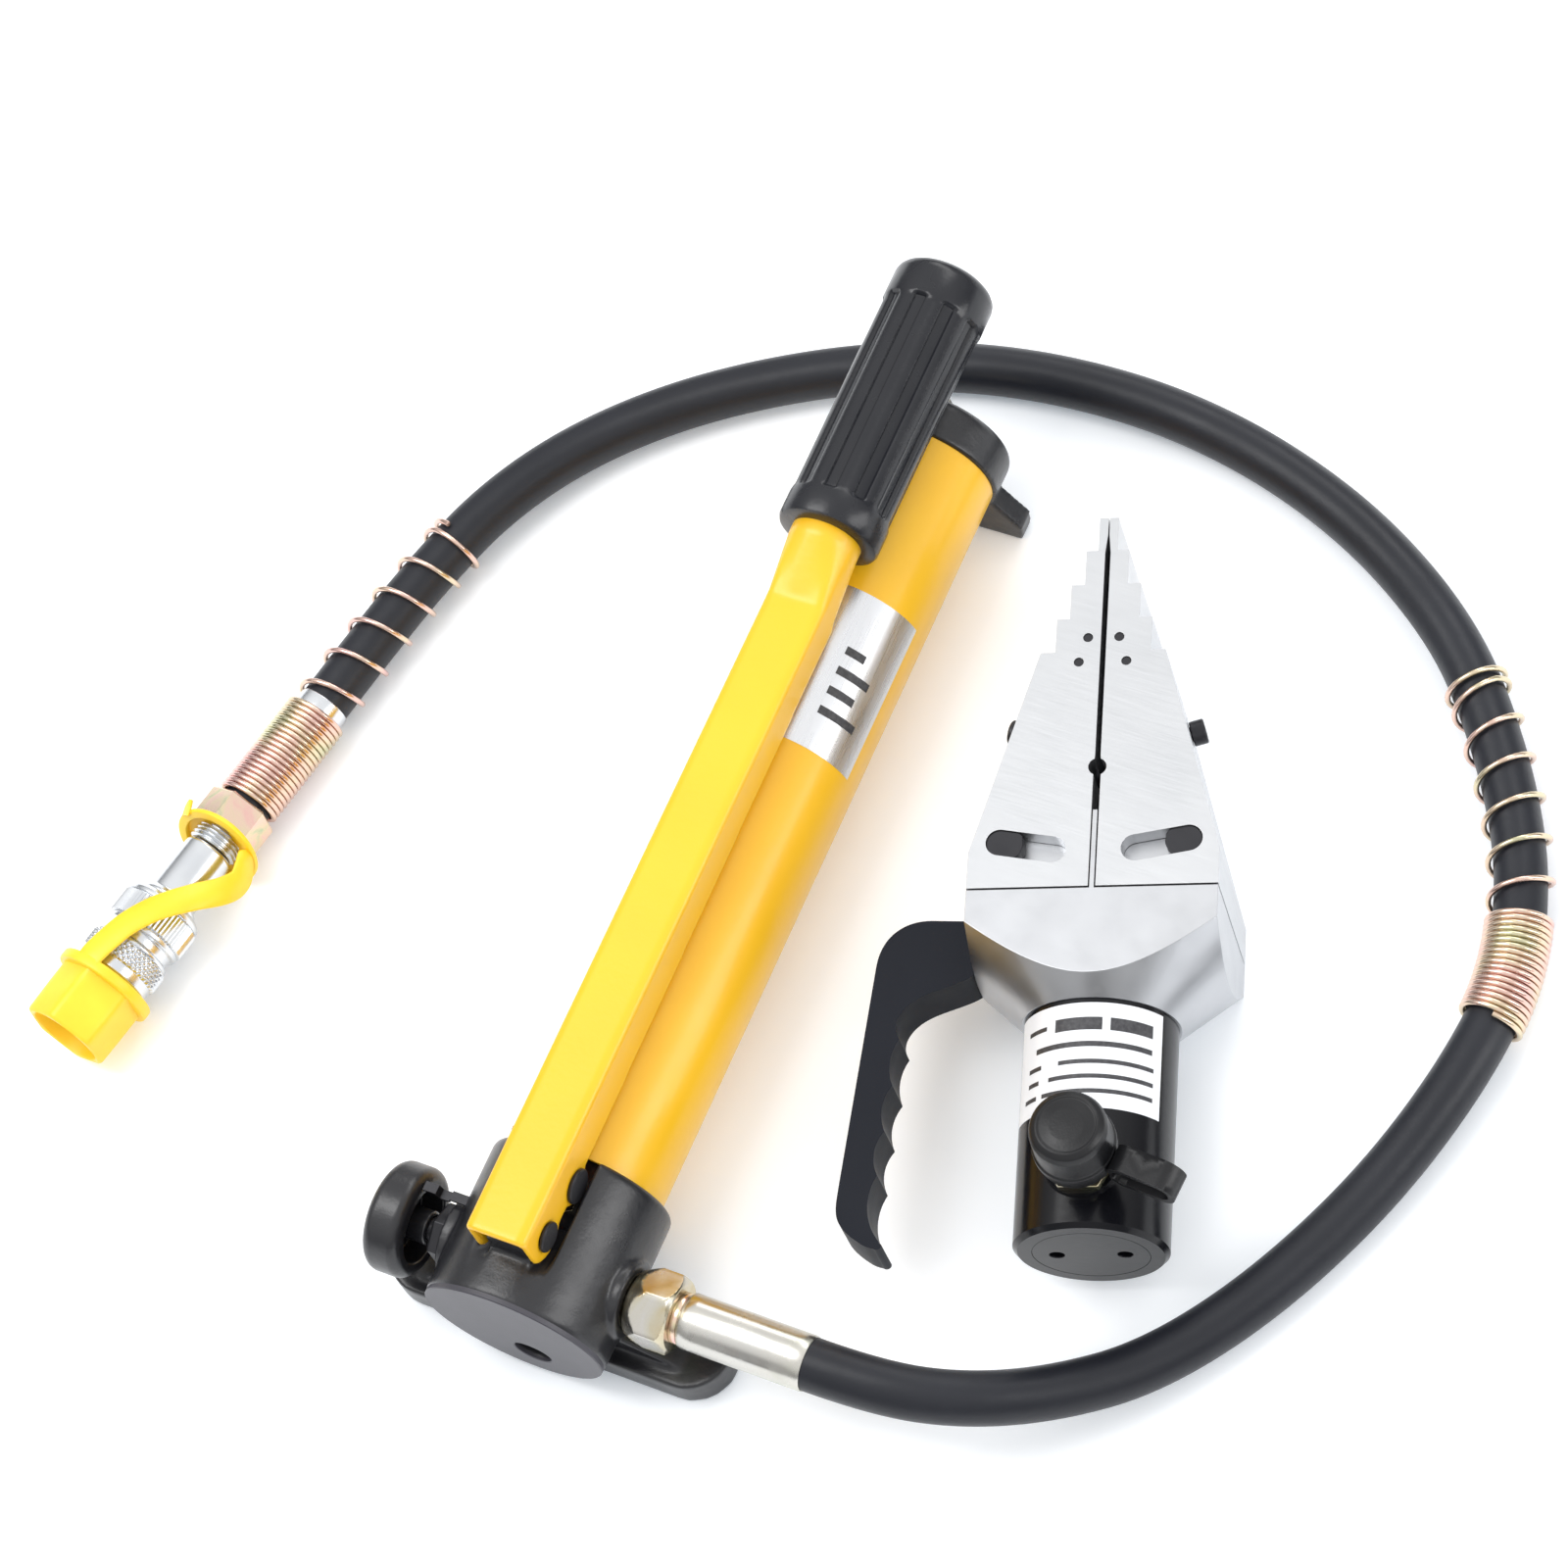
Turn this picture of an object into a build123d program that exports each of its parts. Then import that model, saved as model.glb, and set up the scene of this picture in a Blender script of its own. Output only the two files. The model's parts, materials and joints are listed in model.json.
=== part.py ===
from build123d import *
from math import atan2, cos, degrees, pi, radians, sin, tan
import os

# Hydraulic flange spreader set: a wedge spreader, its lever pump and the pump's hose.
# Row frame, millimetres: +Y runs along the pump from its front face to its tail, +X is the pump's
# hose side, +Z is up from the floor. The origin is the middle of the pump's front foot, on the floor.

# ---------------------------------------------------------------- driving dimensions, pump
AXIS_Z = 36.0             # height of the pump's centre line above the floor
FACE_Y = -22.0            # front face of the pump head
HEAD_END = 34.0           # where the reservoir tube starts
HEAD_R = 31.8
FOOT_HALF = 63.0          # half the length of the front foot, tip to tip
FOOT_R = 15.0             # rounding of the foot's two ends
FOOT_T = 13.0
TUBE_R = 27.0
TUBE_BORE_R = 25.5
TUBE_END = 314.0
SPIGOT_R = 25.45          # spigots of the head and the tail cap inside the tube
SPIGOT_L = 10.0
CAP_R = 28.2
CAP_T = 15.0
ROD_R = 5.0               # tie rod that clamps the tail cap to the head

FULCRUM_Y = 2.6           # lever fulcrum
FULCRUM_Z = 72.0
CROSS_Y = 22.6            # cross pin that drives the plunger
CROSS_Z = 68.0
FULCRUM_R = 4.0
CROSS_R = 4.0
LEVER_HALF = 10.9         # half the outer width of the lever's channel
SHEET = 2.3
LEVER_TOP = 86.0
LEVER_BOTTOM = 66.0
LEVER_Z = 83.5            # centre line of the lever's round end and grip
NECK_START = 232.0
NECK_R = 12.4
SADDLE_Z = 59.9            # floor of the saddles under the lever's cheeks
GRIP_START = 257.0
GRIP_END = 361.0
GRIP_R = 18.0
CORE_R = 11.0             # lever's round end inside the grip
PLUNGER_R = 6.0
GLAND_R = 10.5

PORT_Y = 1.6              # hose port and release valve share this station
VALVE_X = 32.0            # where the release valve's gland meets the head
KNOB_R = 19.0
NUT_FLATS = 24.0
NUT_START = 34.0
NUT_END = 50.0
PORT_FACE = 33.2          # face of the hose port's boss
FERRULE_START = 53.0
FERRULE_END = 97.0
FERRULE_R = 9.4

# ---------------------------------------------------------------- driving dimensions, hose
HOSE_R = 8.9
GUARD_IN = 9.1            # bore of the spring guards
GUARD_OUT = 11.6
GUARD_Z = 12.3            # height of the hose's centre line inside a guard
FLOOR_Z = 9.0             # and where it lies bare on the floor

# Corner points of the hose's route, from the pump's ferrule to the coupler's tail.
ROUTE = [
    (FERRULE_END, PORT_Y, AXIS_Z), (121, PORT_Y, AXIS_Z), (147, 9, 30), (170, 24, 19), (193, 45, 10.5),
    (217, 79, FLOOR_Z), (238, 124, FLOOR_Z), (251, 169, GUARD_Z), (254.5, 208, GUARD_Z), (243.5, 247.5, GUARD_Z),
    (219.5, 287, GUARD_Z), (189, 322.5, GUARD_Z), (138, 355, FLOOR_Z), (77, 373, FLOOR_Z),
    (16, 374, FLOOR_Z), (-38, 361.5, FLOOR_Z), (-89, 335.5, FLOOR_Z), (-127, 304.5, FLOOR_Z),
    (-150.5, 268, GUARD_Z), (-163.5, 229, GUARD_Z), (-171.5, 194, GUARD_Z),
    (-178.5, 160, 12.4), (-184.8, 126.5, 14.25),
]
ARC_SHARE = 0.45          # how much of the shorter run each corner's arc takes
MID_GUARD = (7, 10)        # the middle guard covers the corners between these runs' middles
END_GUARD_FROM = 18       # the end guard runs from the middle of this run to the coupler

# ---------------------------------------------------------------- driving dimensions, spreader
TOOL_TURN = 20.0          # the spreader lies turned this far anticlockwise from +Y
TOOL_ORIGIN = (166.7, 67.0, 32.5)
HALF_DEPTH = 32.5         # block and jaws, from the centre line up and down
BARREL_R = 25.2
BORE_R = 19.0
BASE_T = 9.0
BLOCK_LOW = 78.0
BLOCK_TOP = 113.7
BLOCK_HALF = 41.1
BORE_TOP = 104.0
RAM_R = 11.0
PISTON = (28.0, 40.0)
JAW_LOW = 114.3
JAW_SHOULDER = 127.0
JAW_TIP = 249.3
STEPS = [(20.8, 199.3), (15.9, 211.6), (11.6, 224.3), (7.2, 237.0)]   # half width below each tread
TIP_HALF = 3.2
GAP_LOW = 1.2             # half the slit between the closed jaws, at the bottom
GAP_HIGH = 0.9
CAVITY_HALF_DEPTH = 18.2
CAVITY_TOP = 159.0        # where the wedge's nose lies when closed
WEDGE_SLOPE = 0.2956      # half width gained per millimetre of wedge
WEDGE_NOSE = 1.0
WEDGE_LOW = 114.8
WEDGE_HALF_DEPTH = 17.8
WEDGE_GAP = 0.2
STROKE = 45.0             # of the ram
JAW_RATIO = 0.2854        # how far each jaw slides for each millimetre of ram
TONGUE_HALF = 35.5        # the block's tongue, which reaches between the jaws' cheeks
TONGUE_TOP = 137.0
TONGUE_HALF_DEPTH = 25.7
PASSAGE_HALF = 23.2       # half the width of the wedge's way through the tongue
SLOT_OUT = (30.9, 130.5)  # slot centre at its outer end
SLOT_IN = (13.6, 127.55)  # and at its inner end
SLOT_R = 4.6
KEY_R = 4.5
KEY_L = 12.2
COUPLER_S = 22.0          # station of the hose coupler along the barrel
DUST_CAP_R = 13.6
HANDLE_HALF_DEPTH = 9.0
HANDLE_SCREWS = (98.4, 109.4)
CUSPS = [(-66.4, 0.6), (-69.3, 24.4), (-67.9, 39.7), (-66.3, 55.6), (-65, 71.9)]    # beside the finger grooves
GROOVES = [(-71.9, 14), (-70.9, 31.8), (-69.3, 47.2), (-67.7, 63.1)]

# ---------------------------------------------------------------- derived places
SLOT_TILT = degrees(atan2(SLOT_OUT[1] - SLOT_IN[1], SLOT_OUT[0] - SLOT_IN[0]))
TOOL = Plane(origin=TOOL_ORIGIN, x_dir=(cos(radians(TOOL_TURN)), sin(radians(TOOL_TURN)), 0), z_dir=(0, 0, 1))
TOOL_AXIS = Axis(TOOL_ORIGIN, (-sin(radians(TOOL_TURN)), cos(radians(TOOL_TURN)), 0))

os.makedirs("parts", exist_ok=True)


def along(y, x=0.0, z=AXIS_Z):
    """Plane across the pump at station y, facing the tail; its x runs to +X and its y to +Z."""
    return Plane(origin=(x, y, z), x_dir=(-1, 0, 0), z_dir=(0, 1, 0))


def sideways(x, y=PORT_Y, z=AXIS_Z):
    """Plane facing +X at x, whose x runs to +Y and whose y runs up."""
    return Plane(origin=(x, y, z), x_dir=(0, 1, 0), z_dir=(1, 0, 0))


def deck(z, x=0.0, y=0.0):
    """Horizontal plane at height z."""
    return Plane(origin=(x, y, z), x_dir=(1, 0, 0), z_dir=(0, 0, 1))


def tool_deck(depth):
    """Plane parallel to the floor through the spreader: x across it, y along it."""
    return TOOL.offset(depth)


def tool_station(s, x=0.0, depth=0.0):
    """Plane across the spreader at station s, facing its tip."""
    return Plane(origin=TOOL.from_local_coords((x, s, depth)), x_dir=-TOOL.x_dir, z_dir=TOOL.y_dir)


def tool_side(x, s=0.0, depth=0.0):
    """Plane facing the spreader's +X side, whose x runs towards the tip and whose y runs up."""
    return Plane(origin=TOOL.from_local_coords((x, s, depth)), x_dir=TOOL.y_dir, z_dir=TOOL.x_dir)


def save(piece, label):
    """Name a finished piece and write it."""
    piece.part.label = label
    export_step(piece.part, f"parts/{label}.step")


# ================================================================ pump head and reservoir
with BuildPart() as pump_head:
    with BuildSketch(along(FACE_Y)):
        Circle(HEAD_R)
    extrude(amount=HEAD_END - FACE_Y)
    fillet(pump_head.edges().filter_by(GeomType.CIRCLE), radius=2.6)
    # foot: a bar with round ends, with a web up to the barrel on each side
    with BuildSketch(deck(0)):
        SlotOverall(2 * FOOT_HALF, 2 * FOOT_R)
    extrude(amount=FOOT_T)
    with BuildSketch(along(-9)):
        with BuildLine():
            Polyline((-52, FOOT_T - AXIS_Z - 1), (-30, -14), (30, -14), (52, FOOT_T - AXIS_Z - 1), close=True)
        make_face()
    extrude(amount=18)
    # bosses for the release valve and the hose port
    with BuildSketch(sideways(-VALVE_X - 1)):
        Circle(14)
    extrude(amount=20)
    with BuildSketch(sideways(16)):
        Circle(13)
    extrude(amount=PORT_FACE - 16)
    # spigot for the tube
    with BuildSketch(along(HEAD_END - 1)):
        Circle(SPIGOT_R)
    extrude(amount=SPIGOT_L + 1)
    # lug that carries the fulcrum pin
    with BuildSketch(sideways(-7.2, 0, 0)):
        with BuildLine():
            Polyline((FULCRUM_Y - 7.6, FULCRUM_Z), (FULCRUM_Y - 10, 50), (FULCRUM_Y + 9, 50),
                     (FULCRUM_Y + 7.6, FULCRUM_Z), close=True)
        make_face()
        with Locations((FULCRUM_Y, FULCRUM_Z)):
            Circle(7.6)
    extrude(amount=14.4)
    # shallow saddles that the lever's two cheeks swing in, run out towards the front
    for x in (-13.2, 7.4):
        with BuildSketch(sideways(x, 0, 0)):
            with BuildLine():
                Polyline((-17, 69), (-8, SADDLE_Z), (40, SADDLE_Z), (40, 80), (-17, 80), close=True)
            make_face()
        extrude(amount=5.8, mode=Mode.SUBTRACT)
    # pocket between the cheeks, around the plunger's gland
    with BuildSketch(deck(57)):
        with Locations((0, CROSS_Y)):
            Rectangle(26.4, 25)
    extrude(amount=20, mode=Mode.SUBTRACT)
    # bores: plunger, gland thread, fulcrum, threaded oil ports, tie rod
    with BuildSketch(deck(57, 0, CROSS_Y)):
        Circle(GLAND_R - 2.2)
    extrude(amount=-14, mode=Mode.SUBTRACT)
    with BuildSketch(deck(57, 0, CROSS_Y)):
        Circle(PLUNGER_R + 0.1)
    extrude(amount=-37, mode=Mode.SUBTRACT)
    with BuildSketch(sideways(-10, FULCRUM_Y, FULCRUM_Z)):
        Circle(FULCRUM_R + 0.05)
    extrude(amount=20, mode=Mode.SUBTRACT)
    with BuildSketch(along(FACE_Y, 3, 21)):
        Circle(6.6)
    extrude(amount=14, mode=Mode.SUBTRACT)
    with BuildSketch(sideways(PORT_FACE)):
        Circle(8.05)
    extrude(amount=20 - PORT_FACE, mode=Mode.SUBTRACT)
    with BuildSketch(sideways(-VALVE_X - 1)):
        Circle(7.05)
    extrude(amount=12, mode=Mode.SUBTRACT)
    with BuildSketch(sideways(-VALVE_X - 1)):
        Circle(4.1)
    extrude(amount=26, mode=Mode.SUBTRACT)
    with BuildSketch(along(HEAD_END + SPIGOT_L)):
        Circle(ROD_R + 0.02)
    extrude(amount=-14, mode=Mode.SUBTRACT)
    with BuildSketch(along(HEAD_END + SPIGOT_L, 0, AXIS_Z - 15)):
        Circle(4.02)
    extrude(amount=-12, mode=Mode.SUBTRACT)
save(pump_head, "pump_head")

with BuildPart() as reservoir_tube:
    with BuildSketch(along(HEAD_END + 0.1)):
        Circle(TUBE_R)
        Circle(TUBE_BORE_R, mode=Mode.SUBTRACT)
    extrude(amount=TUBE_END - HEAD_END - 0.2)
save(reservoir_tube, "reservoir_tube")

with BuildPart() as tail_cap:
    with BuildSketch(along(TUBE_END)):
        Circle(CAP_R)
    extrude(amount=CAP_T)
    fillet(tail_cap.edges().filter_by(GeomType.CIRCLE).sort_by(Axis.Y)[-1], radius=3.5)
    with BuildSketch(along(TUBE_END - SPIGOT_L)):
        Circle(SPIGOT_R)
    extrude(amount=SPIGOT_L + 1)
    # rear foot: a wing on each side, down to the floor
    with BuildSketch(along(TUBE_END)):
        with BuildLine():
            Polyline((-24, -14), (-33, -28), (-32, -AXIS_Z), (-14.5, -AXIS_Z), (-12, -31.5), (12, -31.5),
                     (14.5, -AXIS_Z), (32, -AXIS_Z), (33, -28), (24, -14), (0, -8), close=True)
        make_face()
    extrude(amount=8)
    with BuildSketch(along(TUBE_END - SPIGOT_L)):
        Circle(ROD_R + 0.05)
    extrude(amount=CAP_T + SPIGOT_L, mode=Mode.SUBTRACT)
    with BuildSketch(along(TUBE_END - SPIGOT_L, 0, AXIS_Z + 16)):
        Circle(5.05)
    extrude(amount=CAP_T + SPIGOT_L, mode=Mode.SUBTRACT)
save(tail_cap, "tail_cap")

with BuildPart() as tie_rod:
    with BuildSketch(along(HEAD_END + SPIGOT_L - 13)):
        Circle(ROD_R)
    extrude(amount=TUBE_END + CAP_T - HEAD_END - SPIGOT_L + 13)
    with BuildSketch(along(TUBE_END + CAP_T)):
        RegularPolygon(8.5, 6, major_radius=False)
    extrude(amount=7)
    chamfer(tie_rod.faces().sort_by(Axis.Y)[-1].edges(), length=0.8)
save(tie_rod, "tie_rod")

with BuildPart() as oil_filler_plug:
    with BuildSketch(along(TUBE_END - 6, 0, AXIS_Z + 16)):
        Circle(5)
    extrude(amount=CAP_T + 6)
    with BuildSketch(along(TUBE_END + CAP_T, 0, AXIS_Z + 16)):
        Circle(7.5)
    extrude(amount=4)
    chamfer(oil_filler_plug.faces().sort_by(Axis.Y)[-1].edges(), length=0.7)
    with BuildSketch(along(TUBE_END + CAP_T + 4, 0, AXIS_Z + 16)):
        RegularPolygon(2.5, 6, major_radius=False)
    extrude(amount=-3, mode=Mode.SUBTRACT)
save(oil_filler_plug, "oil_filler_plug")

with BuildPart() as suction_strainer:
    with BuildSketch(along(HEAD_END + SPIGOT_L - 10, 0, AXIS_Z - 15)):
        Circle(4)
    extrude(amount=14)
    with BuildSketch(along(HEAD_END + SPIGOT_L + 4, 0, AXIS_Z - 15)):
        Circle(6.5)
    extrude(amount=24)
    fillet(suction_strainer.edges().filter_by(GeomType.CIRCLE).sort_by(Axis.Y)[-1], radius=1.5)
save(suction_strainer, "suction_strainer")

# ================================================================ plunger and lever
with BuildPart() as plunger_gland:
    with BuildSketch(deck(44, 0, CROSS_Y)):
        Circle(GLAND_R - 2.25)
    extrude(amount=13)
    with BuildSketch(deck(57, 0, CROSS_Y)):
        RegularPolygon(GLAND_R - 1, 6, major_radius=False, rotation=30)
    extrude(amount=1.4)
    with BuildSketch(deck(44, 0, CROSS_Y)):
        Circle(PLUNGER_R + 0.05)
    extrude(amount=15, mode=Mode.SUBTRACT)
save(plunger_gland, "plunger_gland")

with BuildPart() as plunger:
    with BuildSketch(deck(22, 0, CROSS_Y)):
        Circle(PLUNGER_R)
    extrude(amount=39)
    with BuildSketch(sideways(-5.5, CROSS_Y - 1.8, CROSS_Z)):
        RectangleRounded(20, 18, 5)
    extrude(amount=11)
    with BuildSketch(sideways(-6, CROSS_Y - 1.9, CROSS_Z)):
        RectangleRounded(13.4, 2 * CROSS_R + 1.4, 4.2)
    extrude(amount=12, mode=Mode.SUBTRACT)
save(plunger, "plunger")

with BuildPart() as lever:
    # two cheeks with round lobes at the two pins
    for x in (-LEVER_HALF, LEVER_HALF - SHEET):
        with BuildSketch(sideways(x, 0, 0)):
            with BuildLine():
                Polyline((FULCRUM_Y - 9.5, LEVER_TOP - 1), (FULCRUM_Y - 9.5, FULCRUM_Z), (FULCRUM_Y, LEVER_BOTTOM),
                         (NECK_START, LEVER_BOTTOM + 4), (NECK_START, LEVER_TOP - 1), close=True)
            make_face()
            with Locations((FULCRUM_Y, FULCRUM_Z)):
                Circle(9.6)
            with Locations((CROSS_Y, CROSS_Z)):
                Circle(7.6)
        extrude(amount=SHEET)
    # web, bent over the cheeks
    with BuildSketch(along(FULCRUM_Y - 9.5, 0, 0)):
        with BuildLine():
            Polyline((-LEVER_HALF, 80), (-LEVER_HALF, LEVER_TOP - 2.6), (-LEVER_HALF + 2.6, LEVER_TOP),
                     (LEVER_HALF - 2.6, LEVER_TOP), (LEVER_HALF, LEVER_TOP - 2.6), (LEVER_HALF, 80),
                     (LEVER_HALF - SHEET, 80), (LEVER_HALF - SHEET, LEVER_TOP - SHEET - 0.6),
                     (-LEVER_HALF + SHEET, LEVER_TOP - SHEET - 0.6), (-LEVER_HALF + SHEET, 80), close=True)
        make_face()
    extrude(amount=NECK_START - FULCRUM_Y + 9.5)
    # neck: from the channel's square end to the round end inside the grip
    with BuildSketch(along(NECK_START, 0, (LEVER_TOP + LEVER_BOTTOM + 4) / 2)):
        RectangleRounded(2 * LEVER_HALF, LEVER_TOP - LEVER_BOTTOM - 4, 3)
    with BuildSketch(along(GRIP_START - 4, 0, LEVER_Z)):
        Circle(NECK_R)
    loft()
    with BuildSketch(along(GRIP_START - 4, 0, LEVER_Z)):
        Circle(NECK_R)
    extrude(amount=10)
    with BuildSketch(along(GRIP_START + 6, 0, LEVER_Z)):
        Circle(CORE_R)
    extrude(amount=GRIP_END - 6 - GRIP_START - 6)
    for y, z, r in ((FULCRUM_Y, FULCRUM_Z, FULCRUM_R), (CROSS_Y, CROSS_Z, CROSS_R)):
        with BuildSketch(sideways(-20, y, z)):
            Circle(r + 0.02)
        extrude(amount=40, mode=Mode.SUBTRACT)
save(lever, "lever")

with BuildPart() as lever_grip:
    with BuildSketch(along(GRIP_START, 0, LEVER_Z)):
        Circle(GRIP_R)
    extrude(amount=GRIP_END - GRIP_START)
    fillet(lever_grip.edges().filter_by(GeomType.CIRCLE).sort_by(Axis.Y)[-1], radius=6)
    fillet(lever_grip.edges().filter_by(GeomType.CIRCLE).sort_by(Axis.Y)[0], radius=1.5)
    # flutes along the grip
    with BuildSketch(along(GRIP_START + 12, 0, LEVER_Z)):
        with PolarLocations(GRIP_R, 10):
            Rectangle(2.2, 5.4)
    extrude(amount=GRIP_END - GRIP_START - 24, mode=Mode.SUBTRACT)
    with BuildSketch(along(GRIP_START, 0, LEVER_Z)):
        Circle(NECK_R + 0.02)
    extrude(amount=6, mode=Mode.SUBTRACT)
    with BuildSketch(along(GRIP_START, 0, LEVER_Z)):
        Circle(CORE_R + 0.02)
    extrude(amount=GRIP_END - GRIP_START - 5, mode=Mode.SUBTRACT)
save(lever_grip, "lever_grip")

PIN_SIDE = LEVER_HALF + 0.1
for label, y, z, r, head_r in (("fulcrum_pin", FULCRUM_Y, FULCRUM_Z, FULCRUM_R, 5.2),
                               ("cross_pin", CROSS_Y, CROSS_Z, CROSS_R, 6.0)):
    with BuildPart() as pin:
        with BuildSketch(sideways(-PIN_SIDE, y, z)):
            Circle(r)
        extrude(amount=2 * PIN_SIDE)
        for x in (-PIN_SIDE - 1.4, PIN_SIDE):
            with BuildSketch(sideways(x, y, z)):
                Circle(head_r)
            extrude(amount=1.4)
        fillet(pin.faces().filter_by(Axis.X).sort_by(Axis.X)[0].edges(), radius=0.6)
        fillet(pin.faces().filter_by(Axis.X).sort_by(Axis.X)[-1].edges(), radius=0.6)
    save(pin, label)

# ================================================================ release valve and hose port
with BuildPart() as release_gland:
    with BuildSketch(sideways(-VALVE_X - 1)):
        Circle(7)
    extrude(amount=11)
    with BuildSketch(sideways(-VALVE_X - 1)):
        RegularPolygon(9, 6, major_radius=False, rotation=30)
    extrude(amount=-5.5)
    chamfer(release_gland.faces().sort_by(Axis.X)[0].edges(), length=0.8)
    with BuildSketch(sideways(-VALVE_X - 8)):
        Circle(4.05)
    extrude(amount=24, mode=Mode.SUBTRACT)
save(release_gland, "release_gland")

with BuildPart() as release_spindle:
    with BuildSketch(sideways(-52)):
        Circle(4)
    extrude(amount=40)
    with BuildSketch(sideways(-12)):
        Circle(4)
    extrude(amount=4, taper=40)
save(release_spindle, "release_spindle")

KNOB_INNER = -VALVE_X - 9.5
with BuildPart() as release_knob:
    with BuildSketch(sideways(KNOB_INNER - 3)):
        Circle(KNOB_R)
    extrude(amount=-14)
    fillet(release_knob.edges().filter_by(GeomType.CIRCLE), radius=4)
    # hollow back, between the hub and the fat rim
    with BuildSketch(sideways(KNOB_INNER - 3)):
        Circle(KNOB_R - 6)
    extrude(amount=-9, mode=Mode.SUBTRACT)
    with BuildSketch(sideways(KNOB_INNER)):
        Circle(5.8)
    extrude(amount=-13)
    with BuildSketch(sideways(KNOB_INNER)):
        Circle(4.02)
    extrude(amount=-(52 + KNOB_INNER), mode=Mode.SUBTRACT)
save(release_knob, "release_knob")

with BuildPart() as port_adapter:
    with BuildSketch(sideways(20)):
        Circle(8)
    extrude(amount=27)
    with BuildSketch(sideways(PORT_FACE)):
        Circle(9)
    extrude(amount=NUT_START - 0.1 - PORT_FACE)
    with BuildSketch(sideways(20)):
        Circle(2.5)
    extrude(amount=27, mode=Mode.SUBTRACT)
save(port_adapter, "port_adapter")

with BuildPart() as hose_swivel_nut:
    with BuildSketch(sideways(NUT_START)):
        RegularPolygon(NUT_FLATS / 2, 6, major_radius=False, rotation=30)
    extrude(amount=NUT_END - NUT_START)
    # its corners are turned off, widely at the pump's end
    with BuildSketch(sideways(NUT_START)):
        Circle(NUT_FLATS / 2 - 1.2)
    extrude(amount=NUT_END - NUT_START, taper=-24, mode=Mode.INTERSECT)
    with BuildSketch(sideways(NUT_END)):
        Circle(NUT_FLATS / 2 + 0.7)
    extrude(amount=NUT_START - NUT_END, taper=-40, mode=Mode.INTERSECT)
    with BuildSketch(sideways(NUT_START)):
        Circle(8.03)
    extrude(amount=47.2 - NUT_START, mode=Mode.SUBTRACT)
    with BuildSketch(sideways(NUT_START)):
        Circle(5.55)
    extrude(amount=20, mode=Mode.SUBTRACT)
save(hose_swivel_nut, "hose_swivel_nut")

with BuildPart() as hose_ferrule:
    with BuildSketch(sideways(47.4)):
        Circle(5.5)
    extrude(amount=6)
    with BuildSketch(sideways(NUT_END + 0.3)):
        Circle(8.4)
    extrude(amount=3)
    with BuildSketch(sideways(FERRULE_START)):
        Circle(FERRULE_R)
    extrude(amount=FERRULE_END - FERRULE_START)
    chamfer(hose_ferrule.faces().sort_by(Axis.X)[-1].edges(), length=0.4)
save(hose_ferrule, "hose_ferrule")


# ================================================================ hose and its guards
def turn_at(points, i):
    """Angle, in degrees, that the route turns through at point i."""
    before = Vector(points[i]) - Vector(points[i - 1])
    after = Vector(points[i + 1]) - Vector(points[i])
    return before.get_angle(after)


def corner_radii(points):
    """Arc radius at every corner: as large as its two runs allow."""
    radii = []
    for i in range(1, len(points) - 1):
        run = min((Vector(points[i]) - Vector(points[i - 1])).length,
                  (Vector(points[i + 1]) - Vector(points[i])).length)
        radii.append(ARC_SHARE * run / tan(radians(turn_at(points, i) / 2)))
    return radii


def middle(i):
    """Middle of the route's run i, which starts at point i."""
    return tuple((Vector(ROUTE[i]) + Vector(ROUTE[i + 1])) * 0.5)


RADII = corner_radii(ROUTE)
print("hose corner radii, mm:", [round(r) for r in RADII])
print("hose runs, mm:", [round((Vector(b) - Vector(a)).length, 1) for a, b in zip(ROUTE, ROUTE[1:])])

with BuildPart() as hose:
    with BuildLine() as hose_path:
        FilletPolyline(*ROUTE, radius=RADII)
    with BuildSketch(hose_path.line ^ 0):
        Circle(HOSE_R)
    sweep()
save(hose, "hose")
HOSE_LENGTH = hose_path.wires()[0].length
print("hose length, mm:", round(HOSE_LENGTH, 1),
      "volume / (section x length):", round(hose.part.volume / (pi * HOSE_R ** 2 * HOSE_LENGTH), 5))

with BuildPart() as middle_spring_guard:
    with BuildLine() as guard_path:
        FilletPolyline(middle(MID_GUARD[0]), *ROUTE[MID_GUARD[0] + 1:MID_GUARD[1] + 1], middle(MID_GUARD[1]),
                       radius=RADII[MID_GUARD[0]:MID_GUARD[1]])
    with BuildSketch(guard_path.line ^ 0):
        Circle(GUARD_OUT)
        Circle(GUARD_IN, mode=Mode.SUBTRACT)
    sweep()
save(middle_spring_guard, "middle_spring_guard")

with BuildPart() as end_spring_guard:
    with BuildLine() as guard_path:
        FilletPolyline(middle(END_GUARD_FROM), *ROUTE[END_GUARD_FROM + 1:], radius=RADII[END_GUARD_FROM:])
    with BuildSketch(guard_path.line ^ 0):
        Circle(GUARD_OUT)
        Circle(GUARD_IN, mode=Mode.SUBTRACT)
    sweep()
save(end_spring_guard, "end_spring_guard")

# ================================================================ quick coupler on the hose's end
COUPLER_DIR = (Vector(ROUTE[-1]) - Vector(ROUTE[-2])).normalized()
COUPLER = Plane(origin=ROUTE[-1], x_dir=(0, 0, 1), z_dir=COUPLER_DIR)     # z runs along the coupler

with BuildPart() as hose_tail_fitting:
    with BuildSketch(COUPLER):
        RegularPolygon(11.2, 6, major_radius=False)
    extrude(amount=12)
    with BuildSketch(COUPLER.offset(12)):
        Circle(8.2)
    extrude(amount=5)
    with BuildSketch(COUPLER.offset(17)):
        Circle(5)
    extrude(amount=8)
save(hose_tail_fitting, "hose_tail_fitting")

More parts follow.
